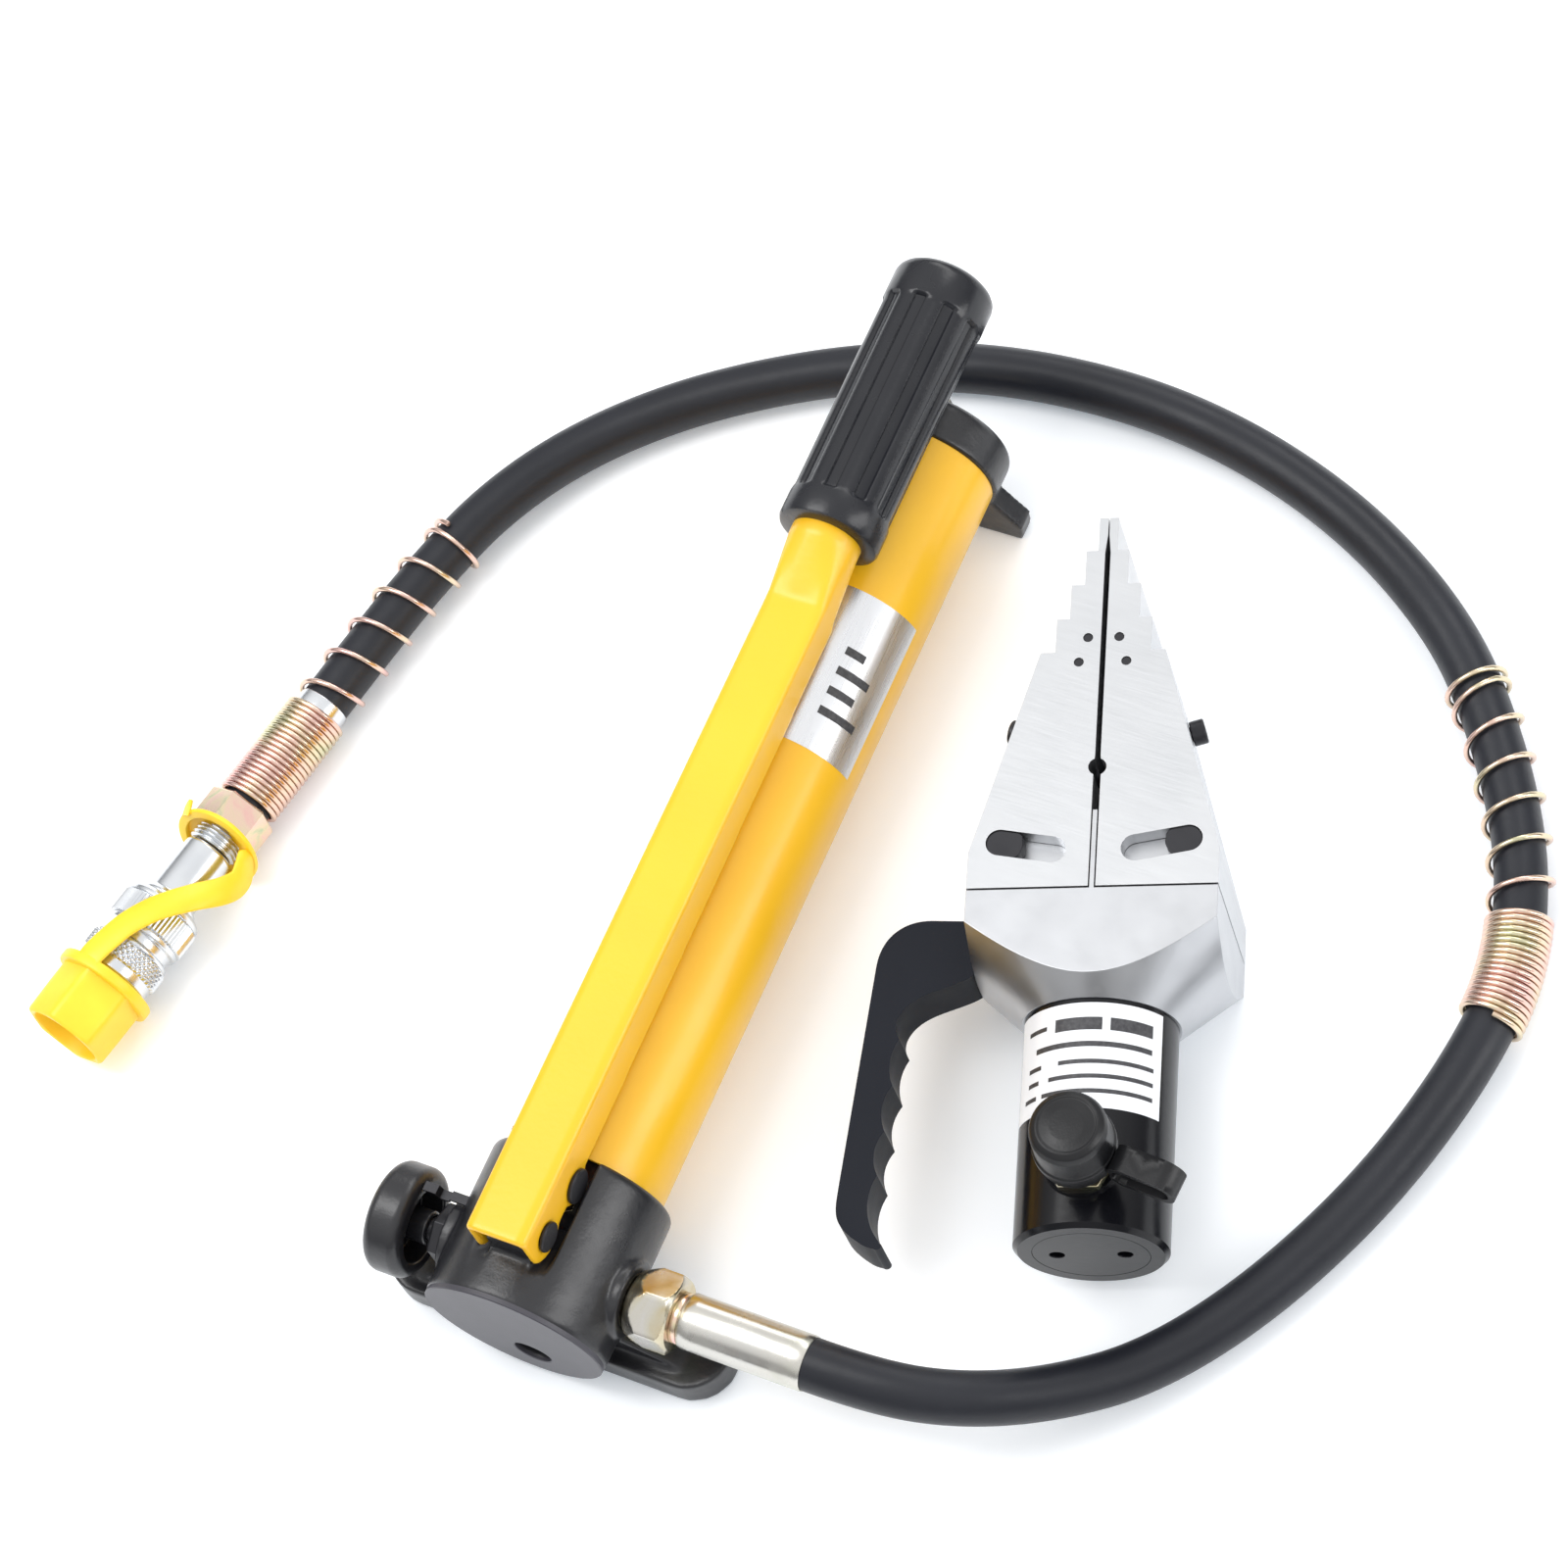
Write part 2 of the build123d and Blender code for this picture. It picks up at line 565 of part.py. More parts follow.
with BuildPart() as coupler_body:
    with BuildSketch(COUPLER.offset(17)):
        Circle(9)
    extrude(amount=60.5)
    with BuildSketch(COUPLER.offset(40)):
        Circle(11.5)
    extrude(amount=4)
    with BuildSketch(COUPLER.offset(17)):
        Circle(5.02)
    extrude(amount=8, mode=Mode.SUBTRACT)
    with BuildSketch(COUPLER.offset(80)):
        Circle(6)
    extrude(amount=-21, mode=Mode.SUBTRACT)
save(coupler_body, "coupler_body")

with BuildPart() as coupler_poppet:
    with BuildSketch(COUPLER.offset(59)):
        Circle(5.95)
    extrude(amount=12)
    fillet(coupler_poppet.edges().filter_by(GeomType.CIRCLE).group_by(SortBy.DISTANCE)[0], radius=0.5)
save(coupler_poppet, "coupler_poppet")

with BuildPart() as coupler_collar:
    with BuildSketch(COUPLER.offset(44.4)):
        Circle(15)
    extrude(amount=16)
    with BuildSketch(COUPLER.offset(60.4)):
        Circle(13.2)
    extrude(amount=4)
    with BuildSketch(COUPLER.offset(64.4)):
        Circle(15)
    extrude(amount=13)
    with BuildSketch(COUPLER.offset(44.4)):
        Circle(9.05)
    extrude(amount=33, mode=Mode.SUBTRACT)
    # the threaded mouth that a spreader's nipple screws into
    with BuildSketch(COUPLER.offset(77.4)):
        Circle(12.1)
    extrude(amount=-14, mode=Mode.SUBTRACT)
save(coupler_collar, "coupler_collar")

PLUG_AT = 78.0
PLUG_FLATS = 28.6         # across the flats of its hexagonal cup
with BuildPart() as dust_plug:
    with BuildSketch(COUPLER.offset(PLUG_AT)):
        Circle(18.2)
    extrude(amount=4)
    fillet(dust_plug.edges().filter_by(GeomType.CIRCLE), radius=1)
    with BuildSketch(COUPLER.offset(PLUG_AT + 4)):
        RegularPolygon(PLUG_FLATS / 2, 6, major_radius=False, rotation=30)
    extrude(amount=21)
    with BuildSketch(COUPLER.offset(PLUG_AT + 25)):
        Circle(12.6)
    extrude(amount=-14, mode=Mode.SUBTRACT)
    with BuildSketch(COUPLER.offset(PLUG_AT)):
        Circle(12)
        Circle(9.3, mode=Mode.SUBTRACT)
    extrude(amount=-12)
save(dust_plug, "dust_plug")

# lanyard: a ring that stays around the coupler's waist, and the strap from it to the plug
STRAP_R = 17.4            # how far the strap's underside is from the coupler's centre line
with BuildPart() as lanyard_ring:
    with BuildSketch(COUPLER.offset(26)):
        Circle(15.3)
        Circle(12.2, mode=Mode.SUBTRACT)
    extrude(amount=3.4)
save(lanyard_ring, "lanyard_ring")

with BuildPart() as lanyard_strap:
    with BuildSketch(Plane(origin=COUPLER.origin, x_dir=COUPLER.x_dir, z_dir=COUPLER.y_dir).offset(-4.5)):
        with BuildLine():
            Polyline((16.2, -29.8), (16.2, -27), (STRAP_R + 2.2, -33), (STRAP_R + 2.2, -PLUG_AT),
                     (STRAP_R, -PLUG_AT), (STRAP_R, -34), close=True)
        make_face()
    extrude(amount=9)
save(lanyard_strap, "lanyard_strap")

# ================================================================ spreader: barrel and block
THREAD_R = 22.0           # the barrel screws into the block this far
THREAD_END = 90.0
with BuildPart() as barrel:
    with BuildSketch(tool_station(0)):
        Circle(BARREL_R)
    extrude(amount=BLOCK_LOW)
    chamfer(barrel.faces().sort_by(TOOL_AXIS)[0].edges(), length=1.6)
    with BuildSketch(tool_station(BLOCK_LOW)):
        Circle(THREAD_R)
    extrude(amount=THREAD_END - BLOCK_LOW)
    # flat-topped boss for the hose coupler
    with BuildSketch(tool_deck(15)):
        with Locations((0, COUPLER_S)):
            Circle(12.5)
    extrude(amount=12.5)
    with BuildSketch(tool_station(0)):
        Circle(BORE_R)
    extrude(amount=THREAD_END, mode=Mode.SUBTRACT)
    with BuildSketch(tool_deck(10)):
        with Locations((0, COUPLER_S)):
            Circle(6.05)
    extrude(amount=30, mode=Mode.SUBTRACT)
save(barrel, "barrel")

with BuildPart() as base_plug:
    with BuildSketch(tool_station(0)):
        Circle(BORE_R - 0.03)
    extrude(amount=BASE_T)
    with BuildSketch(tool_station(0)):
        with PolarLocations(11, 2):
            Circle(2.5)
    extrude(amount=4, mode=Mode.SUBTRACT)
save(base_plug, "base_plug")

PIN_X = 29.3              # the two slide pins, with the jaws closed
PIN_S = 130.23
PIN_R = 4.0
RIB_HALF = 0.8            # the block's rib between the two jaws
RIB_TOP = 141.5
with BuildPart() as guide_block:
    with BuildSketch(tool_station(BLOCK_LOW)):
        Rectangle(2 * BLOCK_HALF, 2 * HALF_DEPTH)
    extrude(amount=BLOCK_TOP - BLOCK_LOW)
    # the lower end is turned to a cone, down to the barrel
    with BuildSketch(tool_station(BLOCK_LOW)):
        Circle(BARREL_R + 0.8)
    extrude(amount=BLOCK_TOP - BLOCK_LOW, taper=-47, mode=Mode.INTERSECT)
    # tongue that carries the jaws' slide pins, with a passage through it for the wedge
    with BuildSketch(tool_deck(-TONGUE_HALF_DEPTH)):
        with BuildLine():
            Polyline((-TONGUE_HALF, BLOCK_TOP - 1), (-TONGUE_HALF, TONGUE_TOP - 4), (4 - TONGUE_HALF, TONGUE_TOP),
                     (TONGUE_HALF - 4, TONGUE_TOP), (TONGUE_HALF, TONGUE_TOP - 4), (TONGUE_HALF, BLOCK_TOP - 1),
                     close=True)
        make_face()
    extrude(amount=2 * TONGUE_HALF_DEPTH)
    with BuildSketch(tool_deck(-CAVITY_HALF_DEPTH)):
        with Locations((0, (BLOCK_TOP + TONGUE_TOP + 1) / 2)):
            Rectangle(2 * PASSAGE_HALF, TONGUE_TOP + 1 - BLOCK_TOP)
    extrude(amount=2 * CAVITY_HALF_DEPTH, mode=Mode.SUBTRACT)
    # thin ribs between the jaws' cheeks, above and below the wedge
    for depth in (-HALF_DEPTH, CAVITY_HALF_DEPTH + 0.3):
        with BuildSketch(tool_deck(depth)):
            with Locations((0, (BLOCK_TOP - 1 + RIB_TOP) / 2)):
                Rectangle(2 * RIB_HALF, RIB_TOP - BLOCK_TOP + 1)
        extrude(amount=HALF_DEPTH - CAVITY_HALF_DEPTH - 0.3)
    # bores: barrel thread, ram chamber, rod, slide pins, handle screws
    with BuildSketch(tool_station(BLOCK_LOW)):
        Circle(THREAD_R + 0.03)
    extrude(amount=THREAD_END - BLOCK_LOW + 0.1, mode=Mode.SUBTRACT)
    with BuildSketch(tool_station(BLOCK_LOW)):
        Circle(BORE_R)
    extrude(amount=BORE_TOP - BLOCK_LOW, mode=Mode.SUBTRACT)
    with BuildSketch(tool_station(BORE_TOP - 1)):
        Circle(RAM_R + 0.1)
    extrude(amount=BLOCK_TOP - BORE_TOP + 2, mode=Mode.SUBTRACT)
    with BuildSketch(tool_deck(-TONGUE_HALF_DEPTH)):
        with Locations((PIN_X, PIN_S), (-PIN_X, PIN_S)):
            Circle(PIN_R + 0.02)
    extrude(amount=2 * TONGUE_HALF_DEPTH, mode=Mode.SUBTRACT)
    for s in HANDLE_SCREWS:
        with BuildSketch(tool_side(-BLOCK_HALF, s)):
            Circle(3.05)
        extrude(amount=12, mode=Mode.SUBTRACT)
save(guide_block, "guide_block")

with BuildPart() as ram:
    with BuildSketch(tool_station(PISTON[0])):
        Circle(BORE_R - 0.05)
    extrude(amount=PISTON[1] - PISTON[0])
    with BuildSketch(tool_station(PISTON[0] + 4)):
        Circle(BORE_R)
        Circle(16.4, mode=Mode.SUBTRACT)
    extrude(amount=4, mode=Mode.SUBTRACT)
    with BuildSketch(tool_station(PISTON[1])):
        Circle(RAM_R)
    extrude(amount=WEDGE_LOW - PISTON[1])
save(ram, "ram")

with BuildPart() as ram_seal:
    with BuildSketch(tool_station(PISTON[0] + 4.1)):
        Circle(BORE_R - 0.03)
        Circle(16.42, mode=Mode.SUBTRACT)
    extrude(amount=3.8)
save(ram_seal, "ram_seal")

# ================================================================ spreader: wedge and jaws
WEDGE_HALF = WEDGE_NOSE + WEDGE_SLOPE * (CAVITY_TOP - WEDGE_LOW)
with BuildPart() as wedge:
    with BuildSketch(tool_deck(-WEDGE_HALF_DEPTH)):
        with BuildLine():
            Polyline((-WEDGE_HALF, WEDGE_LOW), (WEDGE_HALF, WEDGE_LOW), (WEDGE_NOSE, CAVITY_TOP),
                     (-WEDGE_NOSE, CAVITY_TOP), close=True)
        make_face()
    extrude(amount=2 * WEDGE_HALF_DEPTH)
save(wedge, "wedge")

FLANK = (Vector(*STEPS[0]) - Vector(BLOCK_HALF, JAW_SHOULDER)).normalized()    # a jaw's sloping side
SCREW_ON = Vector(BLOCK_HALF, JAW_SHOULDER) + FLANK * 59
SLOT_MIDDLE = ((SLOT_OUT[0] + SLOT_IN[0]) / 2, (SLOT_OUT[1] + SLOT_IN[1]) / 2)
SLOT_RUN = (Vector(*SLOT_OUT) - Vector(*SLOT_IN)).length
DOWELS = ((5.2, 204.5), (7.9, 195.5))
DOWEL_R = 1.65


def side_screw_plane(side, out):
    """Plane on a jaw's sloping side, facing outwards, this far out of the steel."""
    normal = TOOL.x_dir * (side * FLANK.Y) - TOOL.y_dir * FLANK.X
    at = TOOL.from_local_coords((side * SCREW_ON.X, SCREW_ON.Y, 0)) + normal * out
    return Plane(origin=at, x_dir=(0, 0, 1), z_dir=normal)


for side, hand in ((1, "right"), (-1, "left")):
    outline = [(GAP_LOW, JAW_LOW), (GAP_LOW, CAVITY_TOP - 1), (GAP_HIGH, CAVITY_TOP + 2), (GAP_HIGH, 236),
               (0.2, 243), (0.2, JAW_TIP), (TIP_HALF, JAW_TIP), (TIP_HALF, STEPS[-1][1])]
    for half, top in reversed(STEPS):
        outline.append((half, top))
        if half < STEPS[0][0]:
            outline.append((half, STEPS[STEPS.index((half, top)) - 1][1]))
    outline += [(BLOCK_HALF, JAW_SHOULDER), (BLOCK_HALF, JAW_LOW)]
    with BuildPart() as jaw:
        with BuildSketch(tool_deck(-HALF_DEPTH)):
            with BuildLine():
                Polyline(*[(side * x, s) for x, s in outline], close=True)
            make_face()
        extrude(amount=2 * HALF_DEPTH)
        # inside: the wedge's ramp, and room for the block's tongue
        with BuildSketch(tool_deck(-CAVITY_HALF_DEPTH)):
            with BuildLine():
                Polyline(*[(side * x, s) for x, s in (
                    (0, JAW_LOW - 1), (WEDGE_NOSE + WEDGE_GAP + WEDGE_SLOPE * (CAVITY_TOP - JAW_LOW + 1), JAW_LOW - 1),
                    (WEDGE_NOSE + WEDGE_GAP, CAVITY_TOP), (0, CAVITY_TOP))], close=True)
            make_face()
        extrude(amount=2 * CAVITY_HALF_DEPTH, mode=Mode.SUBTRACT)
        with BuildSketch(tool_deck(-TONGUE_HALF_DEPTH - 0.3)):
            with BuildLine():
                Polyline(*[(side * x, s) for x, s in (
                    (0, JAW_LOW - 1), (0, TONGUE_TOP + 0.4), (TONGUE_HALF + 0.4, TONGUE_TOP + 0.4),
                    (TONGUE_HALF + 0.4, JAW_LOW - 1))], close=True)
            make_face()
        extrude(amount=2 * TONGUE_HALF_DEPTH + 0.6, mode=Mode.SUBTRACT)
        # slots for the slide shoes, the round notch on the parting line, dowel and screw holes
        with BuildSketch(tool_deck(-HALF_DEPTH)):
            with Locations((side * SLOT_MIDDLE[0], SLOT_MIDDLE[1])):
                SlotCenterToCenter(SLOT_RUN, 2 * SLOT_R, rotation=side * SLOT_TILT)
            with Locations((0, 157)):
                Circle(3)
            with Locations(*[(side * x, s) for x, s in DOWELS]):
                Circle(DOWEL_R)
        extrude(amount=2 * HALF_DEPTH, mode=Mode.SUBTRACT)
        with BuildSketch(side_screw_plane(side, 1)):
            Circle(2.55)
        extrude(amount=-17, mode=Mode.SUBTRACT)
    save(jaw, f"{hand}_jaw")

    for number, (x, s) in enumerate(DOWELS, start=1):
        with BuildPart() as dowel:
            with BuildSketch(tool_deck(-HALF_DEPTH + 0.4)):
                with Locations((side * x, s)):
                    Circle(DOWEL_R - 0.02)
            extrude(amount=2 * HALF_DEPTH - 0.8)
        save(dowel, f"{hand}_dowel_{number}")

    backed_out = 0.2 if side > 0 else 6.0
    with BuildPart() as side_screw:
        with BuildSketch(side_screw_plane(side, backed_out)):
            Circle(4.25)
        extrude(amount=5)
        chamfer(side_screw.edges().filter_by(GeomType.CIRCLE), length=0.4)
        with BuildSketch(side_screw_plane(side, backed_out)):
            Circle(2.5)
        extrude(amount=-14)
        with BuildSketch(side_screw_plane(side, backed_out + 5)):
            RegularPolygon(2, 6, major_radius=False)
        extrude(amount=-3, mode=Mode.SUBTRACT)
    save(side_screw, f"{hand}_side_screw")

    with BuildPart() as slide_pin:
        with BuildSketch(tool_deck(-29.5)):
            with Locations((side * PIN_X, PIN_S)):
                Circle(PIN_R)
        extrude(amount=59)
    save(slide_pin, f"{hand}_slide_pin")

    # a shoe on each end of the pin, which runs in the cheek's slot
    for face, name in ((1, "upper"), (-1, "lower")):
        with BuildPart() as slide_shoe:
            with BuildSketch(tool_deck(face * (TONGUE_HALF_DEPTH + 0.2))):
                with Locations((side * PIN_X, PIN_S)):
                    SlotOverall(KEY_L, 2 * KEY_R, rotation=side * SLOT_TILT)
                with Locations(Location((side * (PIN_X - 1.6), PIN_S - 0.27), side * SLOT_TILT)):
                    RectangleRounded(8, 2 * KEY_R, 2.4)
            extrude(amount=face * (HALF_DEPTH - TONGUE_HALF_DEPTH - 0.7))
            with BuildSketch(tool_deck(face * (TONGUE_HALF_DEPTH + 0.2))):
                with Locations((side * PIN_X, PIN_S)):
                    Circle(PIN_R + 0.02)
            extrude(amount=face * (29.5 - TONGUE_HALF_DEPTH - 0.1), mode=Mode.SUBTRACT)
        save(slide_shoe, f"{hand}_{name}_shoe")

# ================================================================ spreader: handle
with BuildPart() as handle:
    with BuildSketch(tool_deck(-HANDLE_HALF_DEPTH)):
        with BuildLine():
            Polyline((-BLOCK_HALF, 94.3), (-BLOCK_HALF, 113.3), (-57, 113.9))
            Spline((-57, 113.9), (-67.8, 110.6), (-74.4, 97), tangents=[(-1, 0), (-0.08, -1)])
            Line((-74.4, 97), (-81.6, 22))
            Spline((-81.6, 22), (-80.2, 7), (-73.3, 1), (-69, -0.7), tangents=[(-0.09, -1), (1, -0.2)])
            ThreePointArc((-69, -0.7), (-66.9, -0.6), CUSPS[0])
            for low, middle_of, high in zip(CUSPS, GROOVES, CUSPS[1:]):
                ThreePointArc(low, middle_of, high)
            Spline(CUSPS[-1], (-66.2, 78.4), (-63.1, 83.4), (-56.6, 87.6), (-BLOCK_HALF, 94.3))
        make_face()
    extrude(amount=2 * HANDLE_HALF_DEPTH)
    for s in HANDLE_SCREWS:
        with BuildSketch(tool_side(-BLOCK_HALF, s)):
            Circle(3.05)
        extrude(amount=-30, mode=Mode.SUBTRACT)
        with BuildSketch(tool_side(-BLOCK_HALF - 12, s)):
            Circle(5.2)
        extrude(amount=-30, mode=Mode.SUBTRACT)
save(handle, "handle")

for number, s in enumerate(HANDLE_SCREWS, start=1):
    with BuildPart() as handle_screw:
        with BuildSketch(tool_side(-BLOCK_HALF - 12, s)):
            Circle(5)
        extrude(amount=-6)
        with BuildSketch(tool_side(-BLOCK_HALF - 12, s)):
            Circle(3)
        extrude(amount=23)
        with BuildSketch(tool_side(-BLOCK_HALF - 18, s)):
            RegularPolygon(2.5, 6, major_radius=False)
        extrude(amount=3, mode=Mode.SUBTRACT)
    save(handle_screw, f"handle_screw_{number}")

# ================================================================ spreader: hose nipple and its cap
with BuildPart() as tool_nipple:
    for low, high, radius in ((19.4, 27.5, 6.0), (31, 37, 7.0), (37, 52, 11.2)):
        with BuildSketch(tool_deck(low)):
            with Locations((0, COUPLER_S)):
                Circle(radius)
        extrude(amount=high - low)
    with BuildSketch(tool_deck(27.5)):
        with Locations((0, COUPLER_S)):
            RegularPolygon(11, 6, major_radius=False)
    extrude(amount=3.5)
    with BuildSketch(tool_deck(52)):
        with Locations((0, COUPLER_S)):
            Circle(5)
    extrude(amount=-14, mode=Mode.SUBTRACT)
save(tool_nipple, "tool_nipple")

with BuildPart() as tool_dust_cap:
    with BuildSketch(tool_deck(38)):
        with Locations((0, COUPLER_S)):
            Circle(DUST_CAP_R)
    extrude(amount=18)
    fillet(tool_dust_cap.edges().filter_by(GeomType.CIRCLE).sort_by(Axis.Z)[-1], radius=2)
    with BuildSketch(tool_deck(38)):
        with Locations((0, COUPLER_S)):
            Circle(11.5)
    extrude(amount=14.4, mode=Mode.SUBTRACT)
save(tool_dust_cap, "tool_dust_cap")

# strap: out to the right, over, and back to a ring around the nipple's neck
CAP_STRAP = Plane(origin=TOOL.from_local_coords((0, COUPLER_S, 0)),
                  x_dir=TOOL.x_dir * cos(radians(23)) - TOOL.y_dir * sin(radians(23)),
                  z_dir=TOOL.x_dir * sin(radians(23)) + TOOL.y_dir * cos(radians(23)))
with BuildPart() as tool_cap_strap:
    with BuildSketch(CAP_STRAP.offset(-4.5)):
        with Locations((24.6, -37.6)):
            RectangleRounded(24, 13, 6.4)
            RectangleRounded(19.6, 8.6, 4.2, mode=Mode.SUBTRACT)
        with Locations((9, -37.6)):
            Rectangle(9.6, 14, mode=Mode.SUBTRACT)
    extrude(amount=9)
save(tool_cap_strap, "tool_cap_strap")

with BuildPart() as tool_cap_ring:
    with BuildSketch(tool_deck(31.2)):
        with Locations((0, COUPLER_S)):
            Circle(11.6)
            Circle(7.4, mode=Mode.SUBTRACT)
    extrude(amount=2.4)
save(tool_cap_ring, "tool_cap_ring")
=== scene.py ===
"""Looks of the hydraulic flange spreader set: the spreader, its hand pump and the hose, on a studio floor."""
import json
import math

import bmesh
import bpy
from mathutils import Matrix, Vector

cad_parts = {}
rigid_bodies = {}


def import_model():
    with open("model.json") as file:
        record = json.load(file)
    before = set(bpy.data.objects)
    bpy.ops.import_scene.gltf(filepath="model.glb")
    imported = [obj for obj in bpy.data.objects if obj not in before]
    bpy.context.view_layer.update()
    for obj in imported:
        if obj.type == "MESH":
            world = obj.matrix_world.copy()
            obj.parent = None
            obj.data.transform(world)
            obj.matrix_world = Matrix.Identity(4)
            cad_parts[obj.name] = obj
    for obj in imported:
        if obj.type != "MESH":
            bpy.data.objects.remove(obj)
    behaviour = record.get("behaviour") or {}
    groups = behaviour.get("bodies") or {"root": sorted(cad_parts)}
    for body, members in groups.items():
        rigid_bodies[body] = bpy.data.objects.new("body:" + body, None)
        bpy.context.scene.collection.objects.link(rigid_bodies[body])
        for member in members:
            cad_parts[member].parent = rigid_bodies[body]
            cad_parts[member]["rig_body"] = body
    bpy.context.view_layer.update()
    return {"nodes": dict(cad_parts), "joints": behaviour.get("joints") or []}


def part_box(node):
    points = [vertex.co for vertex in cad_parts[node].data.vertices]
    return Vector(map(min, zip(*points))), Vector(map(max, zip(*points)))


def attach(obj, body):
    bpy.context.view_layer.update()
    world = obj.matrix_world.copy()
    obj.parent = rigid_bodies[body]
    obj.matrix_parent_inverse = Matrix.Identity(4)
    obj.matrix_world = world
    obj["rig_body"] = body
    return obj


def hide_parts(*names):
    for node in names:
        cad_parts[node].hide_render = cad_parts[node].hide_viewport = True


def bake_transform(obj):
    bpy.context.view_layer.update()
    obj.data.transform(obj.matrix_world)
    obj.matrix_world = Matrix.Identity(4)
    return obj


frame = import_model()
NODES = frame["nodes"]
MM = 0.001


# ---------------------------------------------------------------- places, all taken from the frame
def joint(name):
    """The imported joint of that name."""
    return next(j for j in frame["joints"] if j["name"] == name)


def middle_of(node):
    """Middle of a CAD node's box."""
    low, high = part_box(node)
    return (low + high) / 2


def basis(origin, axis, up=(0, 0, 1)):
    """Matrix whose z runs along axis and whose x is as near to up as it can be."""
    z = Vector(axis).normalized()
    x = (Vector(up) - z * z.dot(Vector(up))).normalized()
    y = z.cross(x)
    return Matrix.Translation(origin) @ Matrix((x, y, z)).transposed().to_4x4()


TUBE_LOW, TUBE_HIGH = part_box("reservoir_tube")
TUBE_R = (TUBE_HIGH.x - TUBE_LOW.x) / 2
PUMP_Z = (TUBE_HIGH.z + TUBE_LOW.z) / 2
PUMP_AXIS = basis((0, 0, PUMP_Z), (0, 1, 0))                    # z runs to the tail, x up

TOOL_DIR = Vector(joint("ram_stroke")["axis"])
BASE_THICK = 9 * MM
TOOL_ORIGIN = middle_of("base_plug") - TOOL_DIR * BASE_THICK / 2
TOOL_AXIS = basis(TOOL_ORIGIN, TOOL_DIR)                        # z runs to the tip, x up
BARREL_R = 25.2 * MM
HEAD_R = 31.75                                                  # the pump head's round part, in millimetres

# The hose's corner points, from the pump's ferrule to the coupler's tail.
ROUTE = [Vector(p) * MM for p in (
    (97, 1.6, 36), (121, 1.6, 36), (147, 9, 30), (170, 24, 19), (193, 45, 10.5), (217, 79, 9), (238, 124, 9),
    (251, 169, 12.3), (254.5, 208, 12.3), (243.5, 247.5, 12.3), (219.5, 287, 12.3), (189, 322.5, 12.3),
    (138, 355, 9), (77, 373, 9), (16, 374, 9), (-38, 361.5, 9), (-89, 335.5, 9), (-127, 304.5, 9),
    (-150.5, 268, 12.3), (-163.5, 229, 12.3), (-171.5, 194, 12.3), (-178.5, 160, 12.4), (-184.8, 126.5, 14.25))]
HOSE_R = 8.9 * MM
COUPLER = basis(ROUTE[-1], ROUTE[-1] - ROUTE[-2])               # z runs along the coupler, x up


# ---------------------------------------------------------------- finishes
class Finish:
    """A Principled material, with the few node helpers that the finishes share."""

    def __init__(self, name, colour, roughness, metallic=0.0, **more):
        self.material = bpy.data.materials.new(name)
        self.material.use_nodes = True
        self.tree = self.material.node_tree
        self.shader = self.tree.nodes["Principled BSDF"]
        self.coords = self.tree.nodes.new("ShaderNodeTexCoord").outputs["Object"]
        self.set("Base Color", (*colour, 1.0))
        self.set("Roughness", roughness)
        self.set("Metallic", metallic)
        for socket, value in more.items():
            self.set(socket.replace("_", " "), value)

    def set(self, socket, value):
        """A constant on one of the shader's sockets."""
        self.shader.inputs[socket].default_value = value

    def link(self, output, socket):
        """Drive one of the shader's sockets from a node."""
        self.tree.links.new(output, self.shader.inputs[socket])

    def node(self, kind, **inputs):
        """A node of that kind, with its inputs linked or set."""
        made = self.tree.nodes.new(kind)
        for name, value in inputs.items():
            socket = made.inputs[name.replace("_", " ")]
            if isinstance(value, bpy.types.NodeSocket):
                self.tree.links.new(value, socket)
            else:
                socket.default_value = value
        return made

    def stretched(self, stretch, turn=0.0):
        """Object coordinates, turned about Z and scaled along each axis."""
        return self.node("ShaderNodeMapping", Vector=self.coords, Rotation=(0, 0, turn), Scale=stretch).outputs[0]

    def noise(self, scale, detail=3.0, coords=None, distortion=0.0):
        """Noise with that many features to the metre."""
        return self.node("ShaderNodeTexNoise", Vector=coords or self.coords, Scale=scale, Detail=detail,
                         Distortion=distortion).outputs["Fac"]

    def ramp(self, factor, *stops):
        """Colour ramp over (position, grey or colour) stops."""
        made = self.node("ShaderNodeValToRGB", Fac=factor)
        elements = made.color_ramp.elements
        while len(elements) < len(stops):
            elements.new(0.5)
        for element, (position, value) in zip(elements, stops):
            element.position = position
            element.color = (*value, 1.0) if hasattr(value, "__len__") else (value, value, value, 1.0)
        return made.outputs["Color"]

    def bump(self, height, distance, below=None):
        """Bump of that height in metres, over an earlier one if given."""
        inputs = {"Height": height, "Distance": distance, "Strength": 1.0}
        if below is not None:
            inputs["Normal"] = below
        return self.node("ShaderNodeBump", **inputs).outputs["Normal"]

    def worn(self, amount_low, amount_high, scale=60):
        """Roughness that wanders between two values, as handled paint and metal do."""
        self.link(self.ramp(self.noise(scale, 5), (0.3, amount_low), (0.7, amount_high)), "Roughness")


def yellow_enamel():
    f = Finish("yellow_enamel", (0.92, 0.51, 0.010), 0.34, Coat_Weight=0.22, Coat_Roughness=0.16)
    f.link(f.ramp(f.noise(18, 3), (0.3, (0.90, 0.49, 0.009)), (0.7, (0.94, 0.53, 0.011))), "Base Color")
    f.worn(0.31, 0.4)
    f.link(f.bump(f.noise(420, 2), 0.00006), "Normal")
    return f.material


